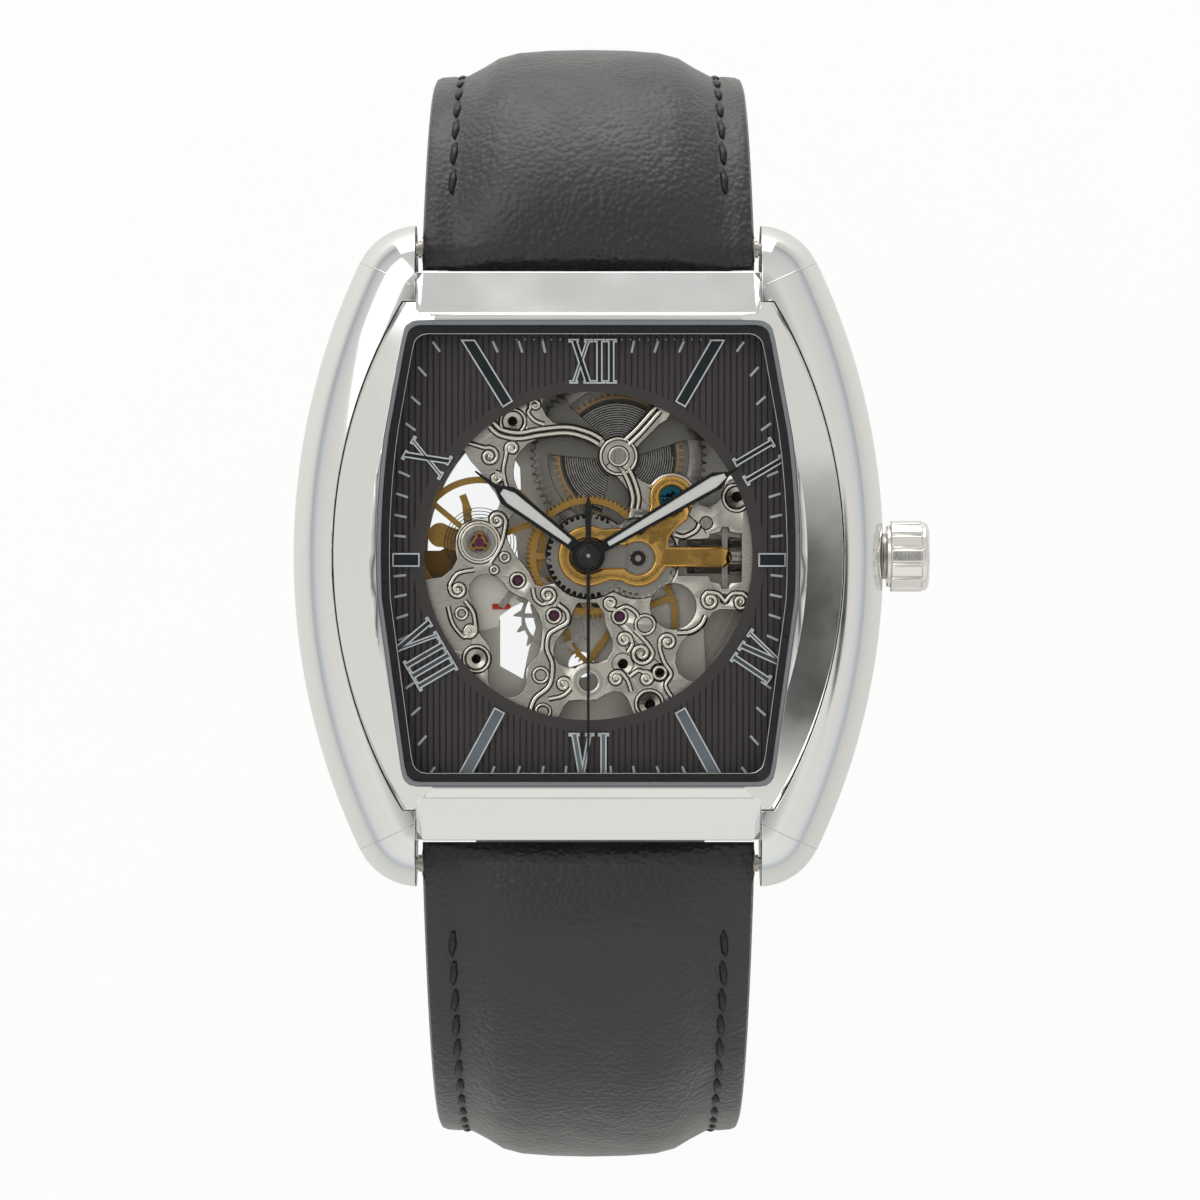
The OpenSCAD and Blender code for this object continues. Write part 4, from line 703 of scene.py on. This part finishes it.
# Painted shade: dark lines along the feet of the ridges.
painted_shade_nickel, tree, shader = material("dark nickel as painted shade at the ridges' feet", "#5f5a53", 1, 0.5)
grain(tree, shader, 0.4, 0.6, 0.2 * mm)
piece("painted_shade_lines", [painted_shade_nickel], wire_mesh("painted_shade_lines", painted_shade_curve), "case")

# Jewels: synthetic ruby, purple red, polished and pressed flush into the plate, which gives each a
# sharp small glint. The pallet stones are a lighter orange red and are set in the fork with
# shellac.
ruby, tree, shader = material("synthetic ruby", "#64294e", 0, 0.06)
shader.inputs["Coat Weight"].default_value = 1.0
grain(tree, shader, 0.04, 0.1, 1 * mm)
dress(ruby, "plate_jewels")
stone, tree, shader = material("orange red ruby", "#b93a1f", 0, 0.1)
grain(tree, shader, 0.06, 0.16, 1 * mm)
dress(stone, "pallet_stones")

# Gilt pieces: the cover of the setting wheels and the shock spring, stamped, polished and gold
# plated. The cover is a little wavy, and its rounded edge catches the light. Its screw is steel,
# polished and heated until it turned blue.
gold, tree, shader = material("polished gold plating", "#e2b261", 1, 0.14)
grain(tree, shader, 0.1, 0.2, 2.5 * mm, lift=0.12 * mm)
eased("setting_cover", [gold], 0.13 * mm, "case", 3)
dress(gold, "shock_spring")
blued, tree, shader = material("heat blued steel", "#1d566a", 1, 0.18)
grain(tree, shader, 0.12, 0.28, 1 * mm)
eased("cover_screw", [blued], 0.06 * mm, "case")

# Setting wheels: steel, turned and cut. The cannon pinion grips the centre arbor, and the hour and
# minute wheels turn loose. The lathe's rings fan the light out, and on the minute wheel a ring of
# painted shade round its pinion's post stands for a dark recess.
wheel_steel, tree, shader = material("turned wheel steel", "#a5a19a", 1, 0.3)
turned(tree, shader, 0, 0, 0.22, 0.4, 0.1 * mm, 0.004 * mm)
dress(wheel_steel, "hour_wheel", "cannon_pinion")
pinion_x, pinion_y = 3.46 * mm, -0.16 * mm
minute_steel, tree, shader = material("turned minute wheel steel with a painted shade ring", "#a5a19a", 1, 0.3)
reach = turned(tree, shader, pinion_x, pinion_y, 0.22, 0.4, 0.1 * mm, 0.004 * mm)
# Painted shade: a dark ring round the pinion's post.
star = add(tree, "ShaderNodeMapRange", {"Value": reach, "From Min": 0.2 * mm, "From Max": 0.24 * mm})
outer = add(tree, "ShaderNodeMapRange", {"Value": reach, "From Min": 0.5 * mm, "From Max": 0.56 * mm})
recess_shade_ring = add(tree, "ShaderNodeMath", {0: star.outputs[0], 1: outer.outputs[0]},
                 operation="SUBTRACT")
two_tone(tree, shader, recess_shade_ring.outputs[0], "#b1ada6", "#3d3a36")
dress(minute_steel, "minute_wheel")

# Wheels of the train, the balance and the stud carrier: punched from brass sheet, the wheels riveted
# on their pinions or staff, the faces grained on emery paper, so that they glow across the grain.
brass, tree, shader = material("grained brass", "#c39a56", 1, 0.3)
grain(tree, shader, 0.22, 0.4, 0.3 * mm, (1, 8, 1), 0.003 * mm)
dress(brass, "centre_wheel", "third_wheel", "fourth_wheel", "balance_wheel", "stud_carrier")

# Barrel: a ground steel wheel pressed over a turned drum, whose toothed rim is brass and whose
# inside is grey. The steel's straight grain darkens it, and the drum's rings fan the light out.
barrel_x, barrel_y, rim_from = 2.10 * mm, 6.94 * mm, 4.1 * mm
dark_steel, tree, shader = material("ground barrel steel", "#7e7b75", 1, 0.34)
grain(tree, shader, 0.26, 0.46, 0.4 * mm, (1, 10, 1), 0.004 * mm)
eased("barrel_wheel", [dark_steel], 0.05 * mm, "barrel", 1)
drum, tree, shader = material("turned barrel metal", "#8f8c85", 1, 0.34)
reach = turned(tree, shader, barrel_x, barrel_y, 0.28, 0.44, 0.15 * mm, 0.006 * mm)
outer = add(tree, "ShaderNodeMath", {0: reach, 1: rim_from}, operation="GREATER_THAN")
two_tone(tree, shader, outer.outputs[0], "#5d5a55", "#b4956a")
dress(drum, "barrel_drum")

# Rotor: a heavy turned half disc that runs free under the bridges and winds the spring by its own
# weight. The lathe's rings fan the light out.
rotor_steel, tree, shader = material("turned rotor metal", "#c4bfb5", 1, 0.34)
turned(tree, shader, 0, 0, 0.22, 0.42, 0.2 * mm, 0.006 * mm)
dress(rotor_steel, "rotor")

# Mainspring: a long ribbon of hard steel, hooked to the arbor and wound in many close turns. It is
# seen on its polished edge, so that the turns show as fine bright lines.
spring, tree, shader = material("polished spring steel", "#b5b1ab", 1, 0.22)
grain(tree, shader, 0.15, 0.32, 0.5 * mm)
turns, inner, outer_turn, turn_steps = 15, 1.35 * mm, 3.8 * mm, 40
ribbon_low, ribbon_wide, ribbon_thick = 4.68 * mm, 0.62 * mm, 0.085 * mm
bm = bmesh.new()
last = None
for i in range(turns * turn_steps + 1):
    a = math.tau * i / turn_steps
    r = inner + (outer_turn - inner) * i / (turns * turn_steps)
    here = bm.verts.new((barrel_x + r * math.cos(a), barrel_y + r * math.sin(a), ribbon_low))
    if last:
        bm.edges.new((last, here))
    last = here
grown = bmesh.ops.extrude_edge_only(bm, edges=bm.edges[:])
upper = [v for v in grown["geom"] if isinstance(v, bmesh.types.BMVert)]
bmesh.ops.translate(bm, vec=(0, 0, ribbon_wide), verts=upper)
coil = piece("mainspring_coil", [spring], bm, "barrel")
thick = coil.modifiers.new("ribbon", "SOLIDIFY")
thick.thickness = ribbon_thick
thick.offset = 0
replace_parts(coil, "mainspring")

# Hairspring: a flat spiral of fine polished steel wire, fixed to the balance staff inside and to its
# stud outside. Lengths across the spiral are in millimetres.
balance_x, balance_y, hair_inner, hair_spread = -7.59, 0.96, 0.6, 2.0
turns, turn_steps, wire_half, hair_level = 9, 36, 0.028 * mm, 4.68 * mm
run = []
for i in range(turns * turn_steps + 1):
    a = math.tau * i / turn_steps
    r = hair_inner + hair_spread * i / (turns * turn_steps)
    run.append((balance_x + r * math.cos(a), balance_y + r * math.sin(a)))
curve = bpy.data.curves.new("hairspring", "CURVE")
tube(curve, run, wire_half, hair_level)
hair = piece("hairspring_coil", [spring], wire_mesh("hairspring", curve), "balance")
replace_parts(hair, "hairspring")


# Strap: two halves of black calf leather, folded round the spring bars, raised over a pad and sewn
# along both edges with black thread. They hang in the curve they take on a wrist. The embossed
# grain breaks the sheen of the dressed leather into small soft lights.
bar_y, bar_z, bar_loop = 21.5 * mm, 4.2 * mm, 1.58 * mm
pad, bar_thick, lining = 1.9 * mm, 2.3 * mm, 1.1 * mm
full_width, pad_rise, pad_fall = 23.2 * mm, 7 * mm, 14 * mm
stitch_half = (0.33 * mm, 1.25 * mm, 0.22 * mm)
stitch_pitch, stitch_slant, stitch_proud = 2.35 * mm, 0.09, 0.05 * mm
pebble, crease, grain_depth = 0.4 * mm, 3 * mm, 0.14 * mm
leather, tree, shader = material("fine grained black calf leather", "#19191b", 0, 0.5)
shader.inputs["Sheen Weight"].default_value = 0.15
shader.inputs["Sheen Roughness"].default_value = 0.35
shader.inputs["Coat Weight"].default_value = 0.5
shader.inputs["Coat Roughness"].default_value = 0.38
place = add(tree, "ShaderNodeTexCoord")
pebbles = add(tree, "ShaderNodeTexVoronoi", {"Vector": place.outputs["Object"],
                                             "Scale": 1 / pebble, "Smoothness": 0.6,
                                             "Randomness": 0.9}, feature="SMOOTH_F1")
creases = add(tree, "ShaderNodeTexNoise", {"Vector": place.outputs["Object"], "Scale": 1 / crease,
                                           "Detail": 5.0})
relief = add(tree, "ShaderNodeMath", {0: creases.outputs["Fac"], 1: -0.9,
                                      2: pebbles.outputs["Distance"]}, operation="MULTIPLY_ADD")
raised = add(tree, "ShaderNodeBump", {"Height": relief.outputs[0], "Strength": 1.0,
                                      "Distance": grain_depth}, invert=True)
tree.links.new(raised.outputs[0], shader.inputs["Normal"])
worn = add(tree, "ShaderNodeMapRange", {"Value": creases.outputs["Fac"], "From Min": 0.3,
                                        "From Max": 0.7, "To Min": 0.4, "To Max": 0.58})
tree.links.new(worn.outputs[0], shader.inputs["Roughness"])
two_tone(tree, shader, creases.outputs["Fac"], "#0c0c0e", "#1b1b1e")
thread, tree, shader = material("waxed black thread", "#08080a", 0, 0.4)
grain(tree, shader, 0.3, 0.5, 0.1 * mm)


def strap_path(first, second, start, end, steps=120):
    """Distance, place and heading in degrees along a strap half, from the spring bar. It bends from
    the first heading to straight down over the first length, and on to the last heading."""
    step = (first + second) / steps

    def heading(s):
        if s < first:
            return start + (90 - start) * s / first
        return 90 + (end - 90) * (s - first) / second

    y = z = 0
    path = [(0, 0, 0, start)]
    for i in range(steps):
        mid = math.radians(heading((i + 0.5) * step))
        y, z = y + step * math.cos(mid), z - step * math.sin(mid)
        path.append(((i + 1) * step, y, z, heading((i + 1) * step)))
    return path


def strap_section(s, total, end_width, pad_end, end_thick):
    """Half the band's cross section at a distance along it, as reach and height, from the lower
    edge up to the middle. An upper point is given in millimetres by how far it lies in from the
    side and down from the top, and by its share of the pad's height. The eighth point of all lies
    in the sewn channel."""
    f = s / total
    half = (full_width + (end_width - full_width) * min(1, 1.15 * f)) / 2
    half -= max(0, f - 0.955) ** 2 * 1.6
    k = min(1, 0.45 + s / pad_rise) * max(0, min(1, (pad_end - s) / pad_fall))
    h = pad * k * k * (3 - 2 * k)
    t = bar_thick + (end_thick - bar_thick) * f
    lower = [(half - 0.35 * mm, -lining), (half - 0.05 * mm, -0.9 * mm), (half, -0.3 * mm)]
    upper = [(half - inward * mm, t - down * mm + share * h) for inward, down, share in (
        (0, 1.5, 0), (0.15, 1.15, 0), (0.5, 1.0, 0), (1.4, 0.93, 0), (1.95, 1.06, 0),
        (2.5, 0.95, 0.08), (3.5, 0.95, 0.36), (4.6, 0.93, 0.7), (6.0, 0.9, 0.88), (8.2, 0.9, 0.97))]
    return [*lower, *upper, (0, t - 0.9 * mm + h)]


def strap_point(side, spot, x, up, back=0.0):
    """A point of a strap half: across it, above it and back towards the watch."""
    _, y, z, heading = spot
    a = math.radians(heading)
    return Vector((x, side * (bar_y + y + up * math.sin(a) - back * math.cos(a)),
                   bar_z + z + up * math.cos(a) + back * math.sin(a)))


def strap_half(node, side, path, shape, sewn, cutters, body):
    """One padded strap half with its stitches; side is 1 towards 12 o'clock and -1 towards 6. The
    band is a shell of cross sections, rolled in at the bar, from which the cutters take holes. It is
    sewn from the first to the second distance in sewn."""
    total = path[-1][0]
    roll = 0.1 * mm

    def whole(s):
        right = strap_section(s, total, *shape)
        return right + [(-x, up) for x, up in reversed(right[:-1])]

    rings = []
    for i in range(6, 0, -1):
        a = math.radians(15 * i)
        rings.append([strap_point(side, path[0], x, roll + (up - roll) * math.cos(a) ** 1.5,
                                  bar_loop * math.sin(a)) for x, up in whole(0)])
    rings += [[strap_point(side, spot, x, up) for x, up in whole(spot[0])] for spot in path]
    rings.append([strap_point(side, path[-1], x * 0.985, up * 0.6, -0.25 * mm)
                  for x, up in whole(total)])
    bm = bmesh.new()
    loops = [[bm.verts.new(p) for p in ring] for ring in rings]
    for near, far in zip(loops, loops[1:]):
        for i in range(len(near)):
            bm.faces.new((near[i - 1], near[i], far[i], far[i - 1]))
    bm.faces.new(loops[0])
    bm.faces.new(loops[-1])
    bmesh.ops.recalc_face_normals(bm, faces=bm.faces)
    for face in bm.faces:
        face.smooth = True
    band = bpy.data.meshes.new(node + "_leather")
    bm.to_mesh(band)
    bm.free()
    blank = bpy.data.objects.new("blank", band)
    bpy.context.collection.objects.link(blank)
    knife_data = bpy.data.meshes.new("knife")
    cutters.to_mesh(knife_data)
    cutters.free()
    knife = bpy.data.objects.new("knife", knife_data)
    bpy.context.collection.objects.link(knife)
    cut = blank.modifiers.new("cut", "BOOLEAN")
    cut.object = knife
    cut.solver = "EXACT"
    view = bpy.context.evaluated_depsgraph_get()
    done = bpy.data.meshes.new_from_object(blank.evaluated_get(view))
    bpy.data.objects.remove(blank)
    bpy.data.objects.remove(knife)
    done.set_sharp_from_angle(angle=math.radians(40))
    half = piece(node + "_leather", [leather], done, body)
    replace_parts(half, node)

    bm = bmesh.new()
    s = sewn[0]
    while s < sewn[1]:
        i = s / total * (len(path) - 1)
        low, part = int(i), i - int(i)
        spot = [a + (b - a) * part for a, b in zip(path[low], path[low + 1])]
        reach, up = strap_section(s, total, *shape)[7]
        for x in (1, -1):
            place = Matrix.Translation(strap_point(side, spot, x * reach, up + stitch_proud))
            place = place @ Matrix.Rotation(math.radians(-spot[3] * side), 4, "X")
            place = place @ Matrix.Rotation(stitch_slant * x, 4, "Z")
            bmesh.ops.create_icosphere(bm, subdivisions=1, radius=1,
                                       matrix=place @ Matrix.Diagonal((*stitch_half, 1)))
        s += stitch_pitch
    for face in bm.faces:
        face.smooth = True
    piece(node + "_stitches", [thread], bm, body)


# Half towards 12 o'clock: its end is slotted for the buckle's tongue and bored for the buckle's bar.
bar_from_end, bar_bore, tongue_slot = 1.5 * mm, 0.7 * mm, (2.6 * mm, 5.7 * mm, 6 * mm)
path = strap_path(first=21.4 * mm, second=44.6 * mm, start=15, end=120)
_, y, z, heading = path[-1]
a = math.radians(heading)
slot_place = Matrix.Translation((0, bar_y + y - bar_from_end * math.cos(a),
                                 bar_z + z + bar_from_end * math.sin(a)))
slot_place = slot_place @ Matrix.Rotation(math.pi - a, 4, "X")
slot = bmesh.new()
bmesh.ops.create_cube(slot, size=1, matrix=slot_place @ Matrix.Translation((0, -0.15 * mm, 0))
                      @ Matrix.Diagonal((*tongue_slot, 1)))
bmesh.ops.create_cone(slot, cap_ends=True, segments=24, radius1=bar_bore, radius2=bar_bore,
                      depth=30 * mm, matrix=slot_place @ Matrix.Rotation(math.pi / 2, 4, "Y"))
end_width, pad_end, end_thick = 20 * mm, 44 * mm, 2.1 * mm
strap_half("strap_12", 1, path, (end_width, pad_end, end_thick), (4.6 * mm, 50 * mm), slot, "strap_12")

# Half towards 6 o'clock: a longer tail, punched with six holes for the tongue. Their places are
# steps along the strap's path.
hole_radius, first_hole, hole_spacing, hole_count = 0.9 * mm, 80, 6, 6
path = strap_path(first=34.6 * mm, second=77.4 * mm, start=15, end=135)
holes = bmesh.new()
for i in range(hole_count):
    _, y, z, heading = path[first_hole + i * hole_spacing]
    bmesh.ops.create_cone(holes, cap_ends=True, segments=24, radius1=hole_radius,
                          radius2=hole_radius, depth=8 * mm,
                          matrix=Matrix.Translation((0, -bar_y - y, bar_z + z))
                          @ Matrix.Rotation(math.radians(heading), 4, "X"))
end_width, pad_end, end_thick = 19 * mm, 72 * mm, 2.0 * mm
strap_half("strap_6", -1, path, (end_width, pad_end, end_thick), (5.5 * mm, 106 * mm), holes, "strap_6")

# Keepers: two loops of the same leather that hold the tail down, one sewn in place and one that
# slides.
eased("fixed_keeper", [leather], 0.5 * mm, "strap_12", 3)
eased("loose_keeper", [leather], 0.5 * mm, "keeper", 3)

# Buckle: polished steel wire and strip, bent and brazed, which turns with its tongue on a bar
# through the end of the strap. It has the same bright polish as the case.
eased("buckle_frame", [polished], 0.3 * mm, "buckle", 3)
eased("tongue", [polished], 0.2 * mm, "tongue", 3)
